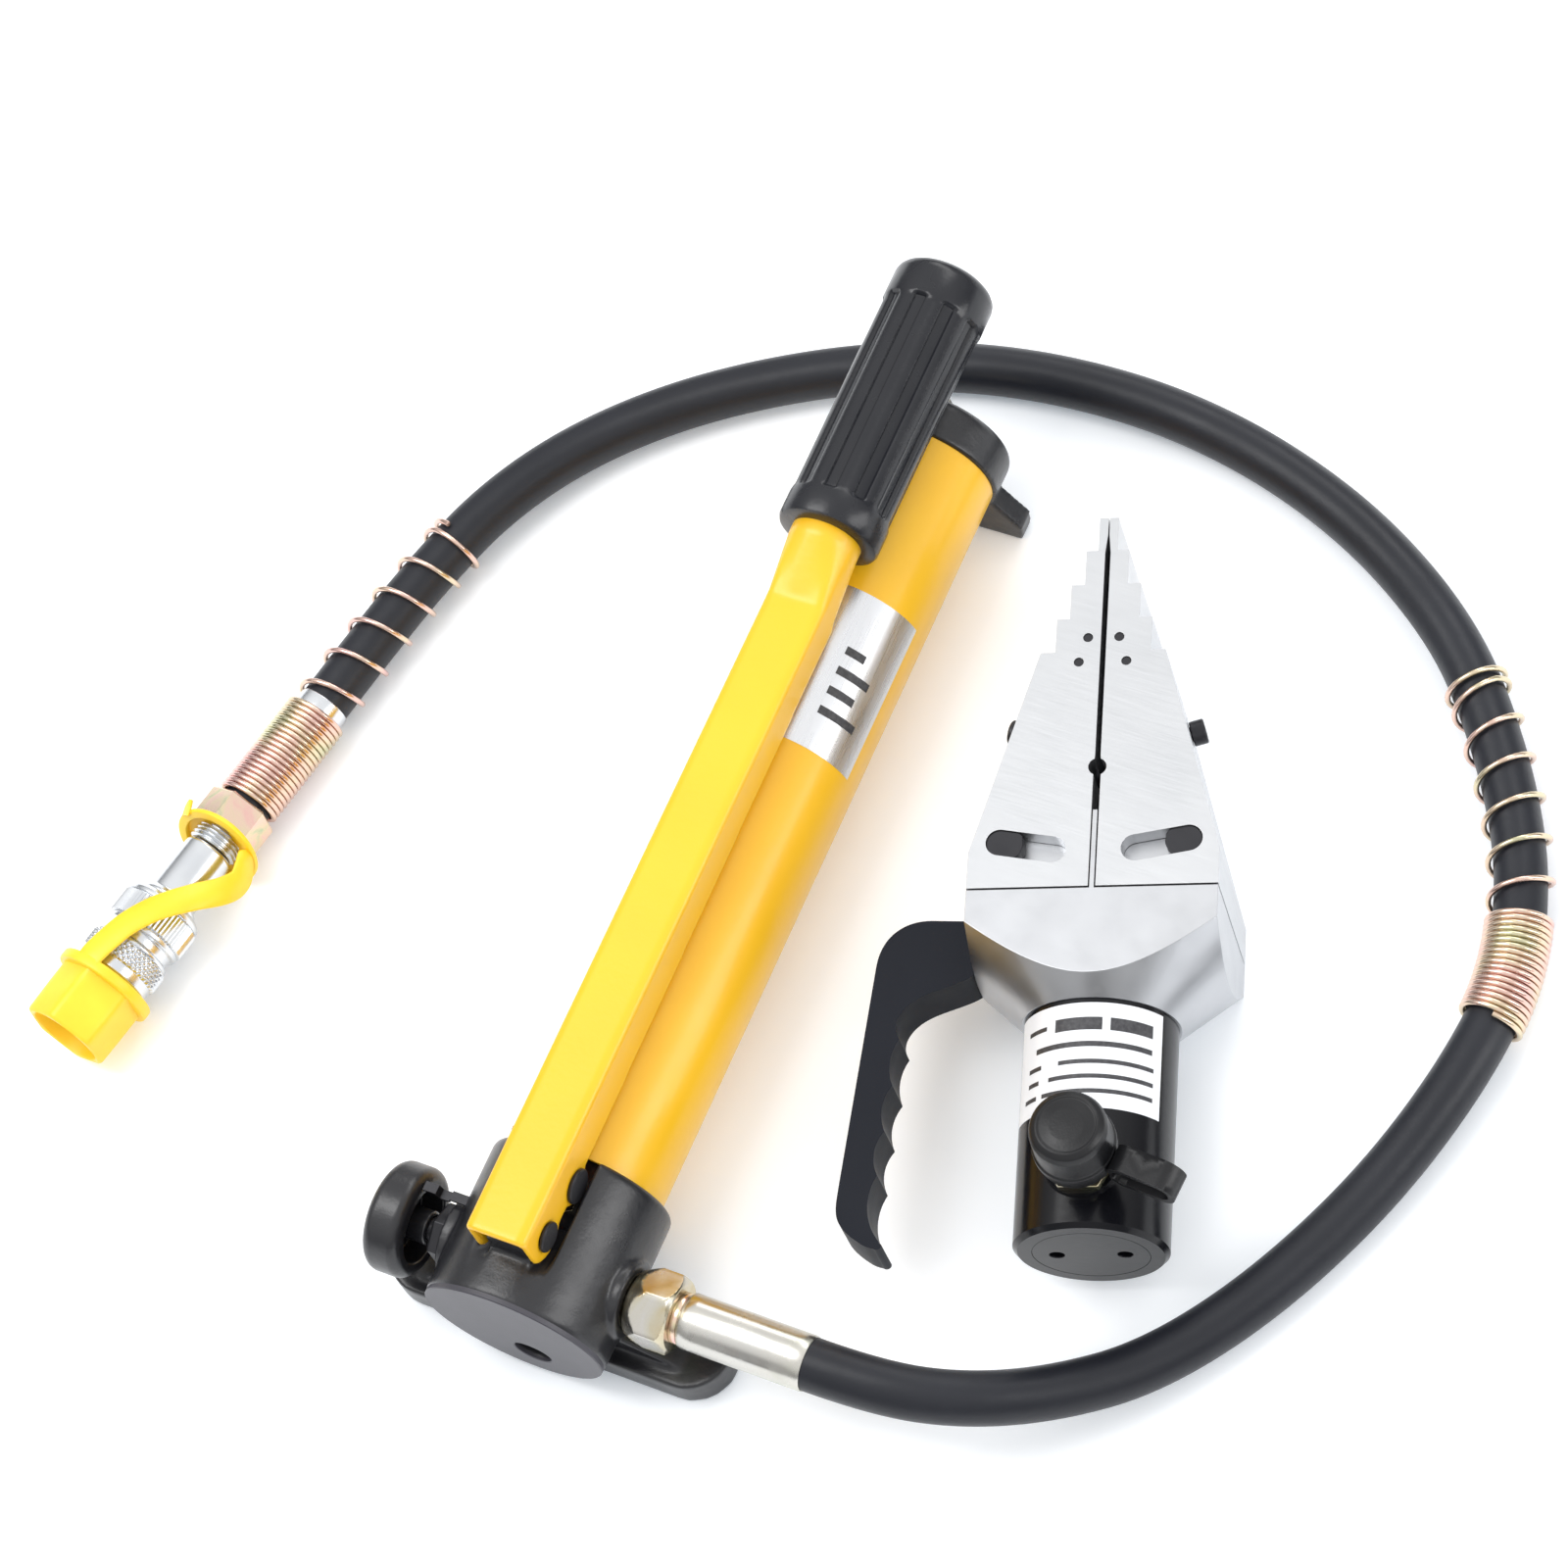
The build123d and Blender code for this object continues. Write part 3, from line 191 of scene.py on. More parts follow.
def cast_enamel():
    f = Finish("cast_enamel", (0.012, 0.0122, 0.015), 0.3, Specular_IOR_Level=0.55)
    f.link(f.ramp(f.noise(45, 4), (0.3, (0.010, 0.0102, 0.0128)), (0.7, (0.015, 0.0153, 0.0185))), "Base Color")
    f.worn(0.26, 0.36)
    fine = f.bump(f.noise(1500, 3), 0.00004)
    f.link(f.bump(f.noise(160, 3), 0.00018, below=fine), "Normal")
    return f.material


def gloss_black():
    f = Finish("gloss_black", (0.004, 0.0042, 0.006), 0.2, Specular_IOR_Level=0.28)
    f.worn(0.16, 0.24, 40)
    f.link(f.bump(f.noise(300, 2), 0.00003), "Normal")
    return f.material


def handle_black():
    f = Finish("handle_black", (0.010, 0.0118, 0.0175), 0.46, Specular_IOR_Level=0.12)
    f.worn(0.4, 0.52)
    f.link(f.bump(f.noise(2400, 2), 0.00003), "Normal")
    return f.material


def ground_steel():
    """Surface-ground steel: fine lines across the tool."""
    f = Finish("ground_steel", (0.57, 0.58, 0.595), 0.36, 1.0)
    lines = f.noise(1.0, 4, f.stretched((60, 2600, 60), -math.atan2(-TOOL_DIR.x, TOOL_DIR.y)))
    f.link(f.ramp(f.noise(30, 4), (0.3, (0.555, 0.567, 0.583)), (0.7, (0.595, 0.605, 0.62))), "Base Color")
    f.link(f.ramp(lines, (0.3, 0.3), (0.7, 0.4)), "Roughness")
    f.link(f.bump(lines, 0.000012), "Normal")
    return f.material


def polished_steel():
    """Turned and polished steel."""
    f = Finish("polished_steel", (0.53, 0.54, 0.56), 0.34, 1.0)
    f.link(f.ramp(f.noise(90, 5), (0.3, 0.3), (0.75, 0.4)), "Roughness")
    f.link(f.bump(f.noise(260, 3), 0.00002), "Normal")
    return f.material


def zinc_plate():
    """Bright zinc with a passivation that wanders from silver to straw, rose and green."""
    f = Finish("zinc_plate", (0.66, 0.62, 0.52), 0.22, 1.0)
    film = f.noise(48, 3, distortion=0.7)
    f.link(f.ramp(film, (0.30, (0.40, 0.43, 0.29)), (0.42, (0.56, 0.48, 0.31)), (0.5, (0.58, 0.55, 0.46)),
                  (0.60, (0.60, 0.58, 0.54)), (0.72, (0.66, 0.44, 0.37))), "Base Color")
    f.worn(0.17, 0.3, 90)
    f.link(f.bump(f.noise(700, 3), 0.00002), "Normal")
    return f.material


def silver_zinc():
    """Bright zinc with only a trace of colour."""
    f = Finish("silver_zinc", (0.7, 0.69, 0.65), 0.24, 1.0)
    film = f.noise(50, 3, f.stretched((0.35, 1, 1)), 0.7)
    f.link(f.ramp(film, (0.32, (0.50, 0.51, 0.43)), (0.45, (0.57, 0.555, 0.51)), (0.6, (0.58, 0.57, 0.54)),
                  (0.70, (0.54, 0.44, 0.37))), "Base Color")
    f.worn(0.19, 0.32, 90)
    f.link(f.bump(f.noise(500, 3), 0.00002), "Normal")
    return f.material


def chrome_plate():
    f = Finish("chrome_plate", (0.76, 0.78, 0.81), 0.2, 1.0)
    f.link(f.ramp(f.noise(70, 3), (0.35, (0.64, 0.66, 0.69)), (0.7, (0.71, 0.73, 0.75))), "Base Color")
    f.worn(0.18, 0.28, 80)
    return f.material


def spring_wire():
    """Yellow zinc plated wire, with rose and green in it."""
    f = Finish("spring_wire", (0.66, 0.5, 0.38), 0.22, 1.0)
    film = f.noise(34, 3, distortion=0.8)
    f.link(f.ramp(film, (0.32, (0.60, 0.57, 0.38)), (0.43, (0.72, 0.58, 0.42)), (0.53, (0.74, 0.54, 0.44)),
                  (0.68, (0.72, 0.47, 0.43))), "Base Color")
    f.worn(0.17, 0.28, 200)
    return f.material


def black_oxide():
    f = Finish("black_oxide", (0.022, 0.022, 0.026), 0.38, 0.4)
    f.worn(0.3, 0.46, 150)
    f.link(f.bump(f.noise(1800, 2), 0.00002), "Normal")
    return f.material


def hose_rubber():
    f = Finish("hose_rubber", (0.011, 0.0125, 0.018), 0.42, Specular_IOR_Level=0.34)
    f.link(f.ramp(f.noise(25, 4), (0.3, (0.0095, 0.0107, 0.0155)), (0.7, (0.014, 0.0155, 0.0215))), "Base Color")
    f.worn(0.36, 0.47, 35)
    fine = f.bump(f.noise(2200, 3), 0.00004)
    f.link(f.bump(f.noise(240, 2), 0.0001, below=fine), "Normal")
    return f.material


def cap_rubber():
    f = Finish("cap_rubber", (0.007, 0.0072, 0.0085), 0.38, Specular_IOR_Level=0.35)
    f.worn(0.3, 0.44, 120)
    f.link(f.bump(f.noise(1300, 2), 0.00005), "Normal")
    return f.material


def grip_plastic():
    f = Finish("grip_plastic", (0.011, 0.0118, 0.0155), 0.26, Specular_IOR_Level=0.42)
    f.worn(0.19, 0.31, 70)
    f.link(f.bump(f.noise(600, 2), 0.00004), "Normal")
    return f.material


def yellow_plastic():
    f = Finish("yellow_plastic", (0.98, 0.68, 0.01), 0.38, Subsurface_Weight=0.12,
               Subsurface_Radius=(0.004, 0.002, 0.0005))
    f.link(f.ramp(f.noise(60, 3), (0.3, (0.96, 0.62, 0.02)), (0.7, (1.0, 0.69, 0.03))), "Base Color")
    f.link(f.bump(f.noise(900, 2), 0.00004), "Normal")
    return f.material


def silver_foil():
    """Brushed foil of the pump's label."""
    f = Finish("silver_foil", (0.72, 0.73, 0.75), 0.28, 1.0)
    lines = f.noise(1.0, 3, f.stretched((2600, 40, 2600)))
    f.link(f.ramp(lines, (0.3, 0.24), (0.7, 0.36)), "Roughness")
    f.link(f.bump(lines, 0.00001), "Normal")
    return f.material


def label_white():
    f = Finish("label_white", (0.82, 0.84, 0.88), 0.35)
    f.link(f.bump(f.noise(500, 2), 0.00003), "Normal")
    return f.material


def label_ink():
    f = Finish("label_ink", (0.035, 0.037, 0.042), 0.45)
    f.link(f.ramp(f.noise(700, 2), (0.35, (0.03, 0.03, 0.035)), (0.7, (0.06, 0.06, 0.065))), "Base Color")
    return f.material


def face_painted_reflection():
    """The head's flat machined front, painted paler and lavender-tinted: a painted reflection of the light on the flat
    face.
    """
    # the base colour and its noise ramp are the paler painted reflection, well above the casting's own black
    f = Finish("face_painted_reflection", (0.048, 0.046, 0.058), 0.42, Specular_IOR_Level=0.5)
    f.link(f.ramp(f.noise(70, 4), (0.3, (0.043, 0.041, 0.052)), (0.7, (0.053, 0.051, 0.064))), "Base Color")
    f.link(f.bump(f.noise(900, 3), 0.00003), "Normal")
    return f.material


def rose_zinc():
    """Zinc whose passivation is mostly rose and straw, with some green."""
    f = Finish("rose_zinc", (0.72, 0.56, 0.42), 0.2, 1.0)
    film = f.noise(95, 3, distortion=0.9)
    f.link(f.ramp(film, (0.30, (0.50, 0.56, 0.36)), (0.42, (0.74, 0.62, 0.42)), (0.54, (0.78, 0.58, 0.46)),
                  (0.68, (0.80, 0.46, 0.44))), "Base Color")
    f.worn(0.16, 0.26, 90)
    return f.material


def floor_paper():
    f = Finish("floor_paper", (0.95, 0.95, 0.955), 0.8, Specular_IOR_Level=0.1,
               Emission_Color=(0.72, 0.86, 1.0, 1.0), Emission_Strength=0.2)
    f.link(f.bump(f.noise(60, 3), 0.0001), "Normal")
    return f.material


YELLOW = yellow_enamel()
CAST = cast_enamel()
GLOSS = gloss_black()
HANDLE = handle_black()
GROUND = ground_steel()
POLISHED = polished_steel()
ZINC = zinc_plate()
SILVER = silver_zinc()
CHROME = chrome_plate()
WIRE = spring_wire()
OXIDE = black_oxide()
RUBBER = hose_rubber()
CAP_RUBBER = cap_rubber()
GRIP = grip_plastic()
YELLOW_PLASTIC = yellow_plastic()
FOIL = silver_foil()
WHITE = label_white()
INK = label_ink()
# the head face's paler material, a painted reflection
FACE_PAINTED_REFLECTION = face_painted_reflection()
ROSE = rose_zinc()


# ---------------------------------------------------------------- making and finishing pieces
BEVEL_ANGLE = math.radians(32)      # edges sharper than this are rounded off


def shaded_smooth(mesh):
    """Smooth shading on every face."""
    mesh.polygons.foreach_set("use_smooth", [True] * len(mesh.polygons))


def finished(piece, material, body, replaced=(), smooth=35):
    """Give a piece its material, its body and the nodes that it stands for."""
    piece.data.materials.clear()
    piece.data.materials.append(material)
    if piece.type == "MESH" and smooth:
        shaded_smooth(piece.data)
        piece.data.set_sharp_from_angle(angle=math.radians(smooth))
    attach(piece, body)
    if replaced:
        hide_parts(*replaced)
    return piece


def linked(name, data):
    """A new object in the scene."""
    made = bpy.data.objects.new(name, data)
    bpy.context.scene.collection.objects.link(made)
    return made


def applied(piece):
    """Apply a piece's modifiers to its mesh."""
    graph = bpy.context.evaluated_depsgraph_get()
    mesh = bpy.data.meshes.new_from_object(piece.evaluated_get(graph))
    piece.modifiers.clear()
    piece.data = mesh
    return piece


def copy_of(node, name):
    """A welded copy of a CAD node's mesh, its flat faces joined up."""
    mesh = bpy.data.meshes.new(name)
    work = bmesh.new()
    work.from_mesh(NODES[node].data)
    bmesh.ops.remove_doubles(work, verts=work.verts, dist=2e-6)
    bmesh.ops.dissolve_limit(work, angle_limit=math.radians(0.6), verts=work.verts, edges=work.edges)
    bmesh.ops.recalc_face_normals(work, faces=work.faces)
    work.to_mesh(mesh)
    work.free()
    return linked(name, mesh)


def softened(node, material, width, segments=2):
    """A CAD node with its sharp edges rounded off, as a machined or pressed piece has them."""
    piece = copy_of(node, node + "_soft")
    bevel = piece.modifiers.new("edges", "BEVEL")
    bevel.width = width
    bevel.segments = segments
    bevel.limit_method = "ANGLE"
    bevel.angle_limit = BEVEL_ANGLE
    bevel.use_clamp_overlap = True
    weighted = piece.modifiers.new("normals", "WEIGHTED_NORMAL")
    weighted.weight = 100
    shaded_smooth(piece.data)
    applied(piece)
    return finished(piece, material, NODES[node]["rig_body"], [node], smooth=None)


def cast(node, material, voxel, rounds, fillers=()):
    """A CAD node, and any filler prisms, remeshed finely and smoothed until edges and corners are rounded."""
    piece = copy_of(node, node + "_cast")
    for filler in fillers:
        whole = bmesh.new()
        whole.from_mesh(piece.data)
        whole.from_mesh(filler.data)
        whole.to_mesh(piece.data)
        whole.free()
        bpy.data.objects.remove(filler)
    remesh = piece.modifiers.new("voxels", "REMESH")
    remesh.mode = "VOXEL"
    remesh.voxel_size = voxel
    smooth = piece.modifiers.new("smooth", "SMOOTH")
    smooth.iterations = rounds
    smooth.factor = 0.5
    applied(piece)
    return finished(piece, material, NODES[node]["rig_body"], [node], smooth=60)


def mesh_object(name, points, faces):
    """A new object from points and faces, with its faces turned outwards."""
    mesh = bpy.data.meshes.new(name)
    mesh.from_pydata(points, [], faces)
    work = bmesh.new()
    work.from_mesh(mesh)
    bmesh.ops.recalc_face_normals(work, faces=work.faces)
    work.to_mesh(mesh)
    work.free()
    return linked(name, mesh)


def skin(name, rings, place=Matrix(), closed_ends=True):
    """A mesh through rings of points, all of the same count, placed by a matrix."""
    count = len(rings[0])
    points = [place @ Vector(p) for ring in rings for p in ring]
    faces = []
    for i in range(len(rings) - 1):
        for j in range(count):
            k = (j + 1) % count
            faces.append((i * count + j, i * count + k, (i + 1) * count + k, (i + 1) * count + j))
    if closed_ends:
        faces.append(tuple(reversed(range(count))))
        faces.append(tuple((len(rings) - 1) * count + j for j in range(count)))
    return mesh_object(name, points, faces)


def circle(radius, height, count=64, outline=None):
    """Ring of points at a height. outline scales the radius at each angle."""
    ring = []
    for j in range(count):
        a = 2 * math.pi * j / count
        r = radius * (outline(a) if outline else 1.0)
        ring.append((r * math.cos(a), r * math.sin(a), height))
    return ring


def circles(profile, count, outline=None):
    """Rings for a profile of (height, radius) in millimetres."""
    return [circle(r * MM, h * MM, count, outline) for h, r in profile]


def lathe(name, profile, place, count=64, outline=None):
    """A turned piece: a profile of (height, radius) in millimetres, about the matrix's z."""
    return skin(name, circles(profile, count, outline), place)


def rounded_profile(corners, size=0.5, steps=3):
    """A (height, radius) profile with its inner corners rounded off, in millimetres."""
    made = [corners[0]]
    for before, at, after in zip(corners, corners[1:], corners[2:]):
        into = Vector(at) - Vector(before)
        out = Vector(after) - Vector(at)
        cut = min(size, into.length * 0.45, out.length * 0.45)
        start = Vector(at) - into.normalized() * cut
        end = Vector(at) + out.normalized() * cut
        for k in range(steps + 1):
            t = k / steps
            made.append(tuple(start * (1 - t) ** 2 + Vector(at) * 2 * t * (1 - t) + end * t ** 2))
    made.append(corners[-1])
    return made


def smooth_line(points, steps=8):
    """Catmull-Rom line through points of any size."""
    points = [Vector(p) for p in points]
    padded = [points[0] * 2 - points[1]] + points + [points[-1] * 2 - points[-2]]
    line = []
    for a, b, c, d in zip(padded, padded[1:], padded[2:], padded[3:]):
        for k in range(steps):
            t = k / steps
            line.append(0.5 * (2 * b + (c - a) * t + (2 * a - 5 * b + 4 * c - d) * t * t
                               + (3 * b - a - 3 * c + d) * t ** 3))
    line.append(points[-1])
    return line


def ribbon(name, stations, width, thick, place, narrow=14):
    """A strap through stations of (point, outward direction), in millimetres, which widens over its first rings."""
    centres = smooth_line([p for p, _ in stations])
    faces_out = smooth_line([n for _, n in stations])
    rings = []
    for i, (centre, out) in enumerate(zip(centres, faces_out)):
        ahead = centres[min(i + 1, len(centres) - 1)] - centres[max(i - 1, 0)]
        ahead.normalize()
        out = (out - ahead * ahead.dot(out)).normalized()
        side = ahead.cross(out)
        share = min(1.0, i / narrow)
        half_w, half_t, r = width / 2 * (0.3 + 0.7 * share * (2 - share)), thick / 2, thick * 0.35
        outline = [(half_w - r, half_t), (half_w, half_t - r), (half_w, r - half_t), (half_w - r, -half_t),
                   (r - half_w, -half_t), (-half_w, r - half_t), (-half_w, half_t - r), (r - half_w, half_t)]
        rings.append([(centre + side * u + out * v) * MM for u, v in outline])
    return skin(name, rings, place)


LABEL_THICK = 0.12 * MM
BAR_THICK = 0.1 * MM


def patch(name, place, radius, turn_from, turn_to, start, end, columns, thick):
    """A sheet wrapped on a cylinder: angles in degrees from the matrix's x, lengths along its z, in metres."""
    outside, inside = [], []
    for h in (start, end):
        for col in range(columns + 1):
            share = col / columns
            a = math.radians(turn_from + (turn_to - turn_from) * share)
            outside.append(place @ Vector((math.cos(a) * (radius + thick), math.sin(a) * (radius + thick), h)))
            inside.append(place @ Vector((math.cos(a) * radius, math.sin(a) * radius, h)))
    n = columns + 1
    total = 2 * n
    faces = []
    for col in range(columns):
        faces.append((col, col + 1, n + col + 1, n + col))
        faces.append((total + col, total + n + col, total + n + col + 1, total + col + 1))
        faces.append((col, total + col, total + col + 1, col + 1))
        faces.append((n + col, n + col + 1, total + n + col + 1, total + n + col))
    for col in (0, columns):
        faces.append((col, n + col, total + n + col, total + col))
    return mesh_object(name, outside + inside, faces)


def label(kind, place, radius, turns, start, end, columns, material, body, bars, bar_columns):
    """A label on a cylinder, and bars on it, each from angle to angle and from share to share of its length."""
    sheet = patch(f"{kind}_label", place, radius, *turns, start, end, columns, LABEL_THICK)
    finished(sheet, material, body, smooth=30)
    for number, (low, high, a, b) in enumerate(bars, start=1):
        bar = patch(f"{kind}_bar_{number}", place, radius + LABEL_THICK, low, high, start + (end - start) * a,
                    start + (end - start) * b, bar_columns, BAR_THICK)
        finished(bar, INK, body, smooth=30)


# ---------------------------------------------------------------- camera and studio
CAMERA_PLACE = (0.6134, -0.3811, 1.5386)
CAMERA_ELEVATION = math.radians(61)
CAMERA_AZIMUTH = math.radians(47)
CAMERA_ROLL = math.radians(25.7)
CAMERA_LENS = 117.34
SENSOR_WIDTH = 36
FLOOR_Z = -0.0002                   # just under the set, so that the two don't share a plane


def camera():
    """Make the camera, above the set on the hose's side, and return its right, up and back directions."""
    elevation, azimuth, roll = CAMERA_ELEVATION, CAMERA_AZIMUTH, CAMERA_ROLL
    back = Vector((math.cos(elevation) * math.sin(azimuth), -math.cos(elevation) * math.cos(azimuth),
                   math.sin(elevation)))
    level = Vector((math.cos(azimuth), math.sin(azimuth), 0))
    upright = back.cross(level)
    right = level * math.cos(roll) - upright * math.sin(roll)
    up = level * math.sin(roll) + upright * math.cos(roll)
    data = bpy.data.cameras.new("camera")
    data.lens = CAMERA_LENS
    data.sensor_width = SENSOR_WIDTH
    data.clip_end = 20
    made = linked("camera", data)
    made.matrix_world = Matrix.Translation(CAMERA_PLACE) @ Matrix((right, up, back)).transposed().to_4x4()
    bpy.context.scene.camera = made
    return right, up, back


RIGHT, UP, BACK = camera()
MIDDLE = Vector((0.04, 0.17, 0.03))


def softbox(name, offset, size, power):
    """An area light that faces the set, placed in the camera's right, up and back directions."""
    data = bpy.data.lights.new(name, "AREA")
    data.shape = "RECTANGLE"
    data.size, data.size_y = size
    data.energy = power
    made = linked(name, data)
    at = MIDDLE + RIGHT * offset[0] + UP * offset[1] + BACK * offset[2]
    made.matrix_world = basis(at, at - MIDDLE, UP)


def studio():
    """A pale floor, soft boxes, and a room that is brighter above than at the horizon."""
    bpy.ops.mesh.primitive_plane_add(size=30, location=(0, 0, FLOOR_Z))
    floor = bpy.context.object
    floor.name = "floor"
    floor.data.materials.append(floor_paper())
    softbox("key_left", (-1.3, 0.9, 1.4), (0.9, 1.5), 20)
    softbox("fill_right", (1.5, 0.1, 1.2), (0.6, 1.5), 12)
    softbox("rim_back", (0.3, 1.9, 0.5), (1.8, 0.6), 9)
    world = bpy.data.worlds.new("studio")
    world.use_nodes = True
    tree = world.node_tree
    ways = tree.nodes.new("ShaderNodeSeparateXYZ")
    tree.links.new(tree.nodes.new("ShaderNodeTexCoord").outputs["Generated"], ways.inputs[0])
    ceiling = tree.nodes.new("ShaderNodeMapRange")
    ceiling.interpolation_type = "SMOOTHSTEP"
    for name, value in (("From Min", -0.05), ("From Max", 0.8), ("To Min", 0.22), ("To Max", 1.12)):
        ceiling.inputs[name].default_value = value
    tree.links.new(ways.outputs["Z"], ceiling.inputs["Value"])
    tree.links.new(ceiling.outputs["Result"], tree.nodes["Background"].inputs["Strength"])
    tree.nodes["Background"].inputs["Color"].default_value = (1, 1, 1, 1)
    bpy.context.scene.world = world
    bpy.context.scene.view_settings.view_transform = "Standard"


studio()


# ---------------------------------------------------------------- hose
class Route:
    """The hose's smooth centre line, read back from its curve, with a steady frame at every point."""

    def __init__(self, curve_object):
        mesh = bpy.data.meshes.new_from_object(curve_object)
        self.points = [v.co.copy() for v in mesh.vertices]
        bpy.data.meshes.remove(mesh)
        self.lengths = [0.0]
        for a, b in zip(self.points, self.points[1:]):
            self.lengths.append(self.lengths[-1] + (b - a).length)
        side = Vector((0, 0, 1))
        self.frames = []
        for i in range(len(self.points)):
            ahead = (self.points[min(i + 1, len(self.points) - 1)] - self.points[max(i - 1, 0)]).normalized()
            side = (side - ahead * ahead.dot(side)).normalized()
            self.frames.append((ahead, side))

    def nearest(self, point):
        """Length along the route where it passes nearest to a point."""
        best = min(range(len(self.points)), key=lambda i: (self.points[i] - point).length)
        return self.lengths[best]

    def at(self, length):
        """Point, direction and side direction at a length along the route."""
        i = 1
        while i < len(self.lengths) - 1 and self.lengths[i] < length:
            i += 1
        t = (length - self.lengths[i - 1]) / (self.lengths[i] - self.lengths[i - 1])
        point = self.points[i - 1].lerp(self.points[i], t)
        ahead = self.frames[i - 1][0].lerp(self.frames[i][0], t).normalized()
        side = self.frames[i - 1][1].lerp(self.frames[i][1], t)
        side = (side - ahead * ahead.dot(side)).normalized()
        return point, ahead, side


def route_curve(name, bevel):
    """The hose's route as one smooth spline."""
    curve = bpy.data.curves.new(name, "CURVE")
    curve.dimensions = "3D"
    curve.resolution_u = 24
    curve.bevel_depth = bevel
    curve.bevel_resolution = 12
    curve.use_fill_caps = True
    spline = curve.splines.new("NURBS")
    spline.points.add(len(ROUTE) - 1)
    for point, at in zip(spline.points, ROUTE):
        point.co = (*at, 1.0)
    spline.order_u = 3
    spline.use_endpoint_u = True
    return linked(name, curve)


bare = route_curve("bare_route", 0)
bare.data.use_fill_caps = False
bpy.context.view_layer.update()
LINE = Route(bare)
bpy.data.objects.remove(bare)
hose = finished(route_curve("hose_tube", HOSE_R), RUBBER, "pump", ["hose"])


WIRE_R = 1.0 * MM
COIL_R = 10.55 * MM
TURN_STEPS = 28            # points to a turn
CLOSE = 2.03 * MM          # pitch where the turns lie against each other
TIGHT = 4 * MM             # pitch of the last turn at a spring's open end
MIDDLE_OPEN = 14.6 * MM    # pitches of the two springs' open stretches
END_OPEN = 14.0 * MM


def coil(name, start, end, pitch_at, node):
    """A spring round the hose. pitch_at gives the pitch, in metres, at a length from the start."""
    points = []
    length, angle = start, 0.0
    while length < end:
        point, ahead, side = LINE.at(length)
        across = ahead.cross(side)
        points.append(point + (side * math.cos(angle) + across * math.sin(angle)) * COIL_R)
        angle += 2 * math.pi / TURN_STEPS
        length += pitch_at(length - start) / TURN_STEPS
    curve = bpy.data.curves.new(name, "CURVE")
    curve.dimensions = "3D"
    curve.bevel_depth = WIRE_R
    curve.bevel_resolution = 3
    curve.resolution_u = 1
    curve.use_fill_caps = True
    spline = curve.splines.new("POLY")
    spline.points.add(len(points) - 1)
    for at, point in zip(points, spline.points):
        point.co = (*at, 1.0)
    return finished(linked(name, curve), WIRE, "pump", [node])


def half_way(i):
    """Middle of the route's run i, which starts at point i."""
    return (ROUTE[i] + ROUTE[i + 1]) / 2


middle_start = LINE.nearest(half_way(7))
middle_end = LINE.nearest(half_way(10))
end_start = LINE.nearest(half_way(18))
end_stop = LINE.lengths[-1]


def middle_pitch(length):
    """Close turns at the middle spring's start, then open ones, then a tight last turn."""
    if length < 37 * MM:
        return CLOSE
    return MIDDLE_OPEN if length < middle_end - middle_start - 7 * MM else TIGHT


def end_pitch(length):
    """A tight first turn on the end spring, then open turns, then close ones up to the coupler."""
    if length < 4 * MM:
        return TIGHT
    return END_OPEN if length < end_stop - end_start - 43 * MM else CLOSE


middle_coil = coil("middle_coil", middle_start + 1 * MM, middle_end - 1 * MM, middle_pitch, "middle_spring_guard")
end_coil = coil("end_coil", end_start + 1 * MM, end_stop - 1.2 * MM, end_pitch, "end_spring_guard")


# ---------------------------------------------------------------- coupler on the hose's end
def wave(x):
    """Triangle wave from 0 to 1, with a period of 1."""
    x = x % 1.0
    return 2 * x if x < 0.5 else 2 - 2 * x


def knurled(name, start, end, radius, depth, place, teeth, crossed):
    """A knurled band: straight teeth, or crossed ones."""
    count = teeth * 6
    rows = 26 if crossed else 6
    edge = 0.7
    inside = (radius - 1.2) * MM
    pitch = 2 * math.pi * radius / teeth
    rings = [circle(inside, start * MM, count)]
    for row in range(rows + 1):
        h = start + edge + (end - start - 2 * edge) * row / rows

        def tooth(a, h=h):
            u = a / (2 * math.pi) * teeth
            v = (h - start) / pitch
            height = min(wave(u + v), wave(u - v)) * 1.3 if crossed else wave(u)
            return 1 - depth / radius * (1 - min(1.0, height))
        rings.append(circle(radius * MM, h * MM, count, tooth))
    rings.append(circle(inside, end * MM, count))
    return skin(name, rings, place)


def off_flat(a):
    """Angle from the middle of a hexagon's nearest flat."""
    return (a % (math.pi / 3)) - math.pi / 6


def hexagon(flats, corner):
    """Outline of a hexagon across these flats, its corners turned down to a radius, as a share of that radius."""
    def outline(a):
        return min(flats / 2 / math.cos(off_flat(a)), corner) / corner
    return outline


def hex_turned(name, flats, profile, place):
    """A hexagon turned down to a profile of (height, radius), both in millimetres."""
    steps, count = 6, 144
    rings = []
    for (h, r), (h2, r2) in zip(profile, profile[1:]):
        for k in range(steps):
            at, radius = h + (h2 - h) * k / steps, r + (r2 - r) * k / steps
            rings.append(circle(radius * MM, at * MM, count, hexagon(flats, radius)))
    h, r = profile[-1]
    rings.append(circle(r * MM, h * MM, count, hexagon(flats, r)))
    return skin(name, rings, place)


def threaded(name, start, end, radius, pitch, place, depth):
    """A threaded stretch, as close rings."""
    profile = [(start, radius - depth)]
    h = start
    while h + pitch <= end:
        profile += [(h + pitch * 0.45, radius), (h + pitch * 0.55, radius), (h + pitch, radius - depth)]
        h += pitch
    return skin(name, circles(profile, 48), place)


TAIL_CORNER = 12.93        # radius that the tail hexagon's corners are turned to


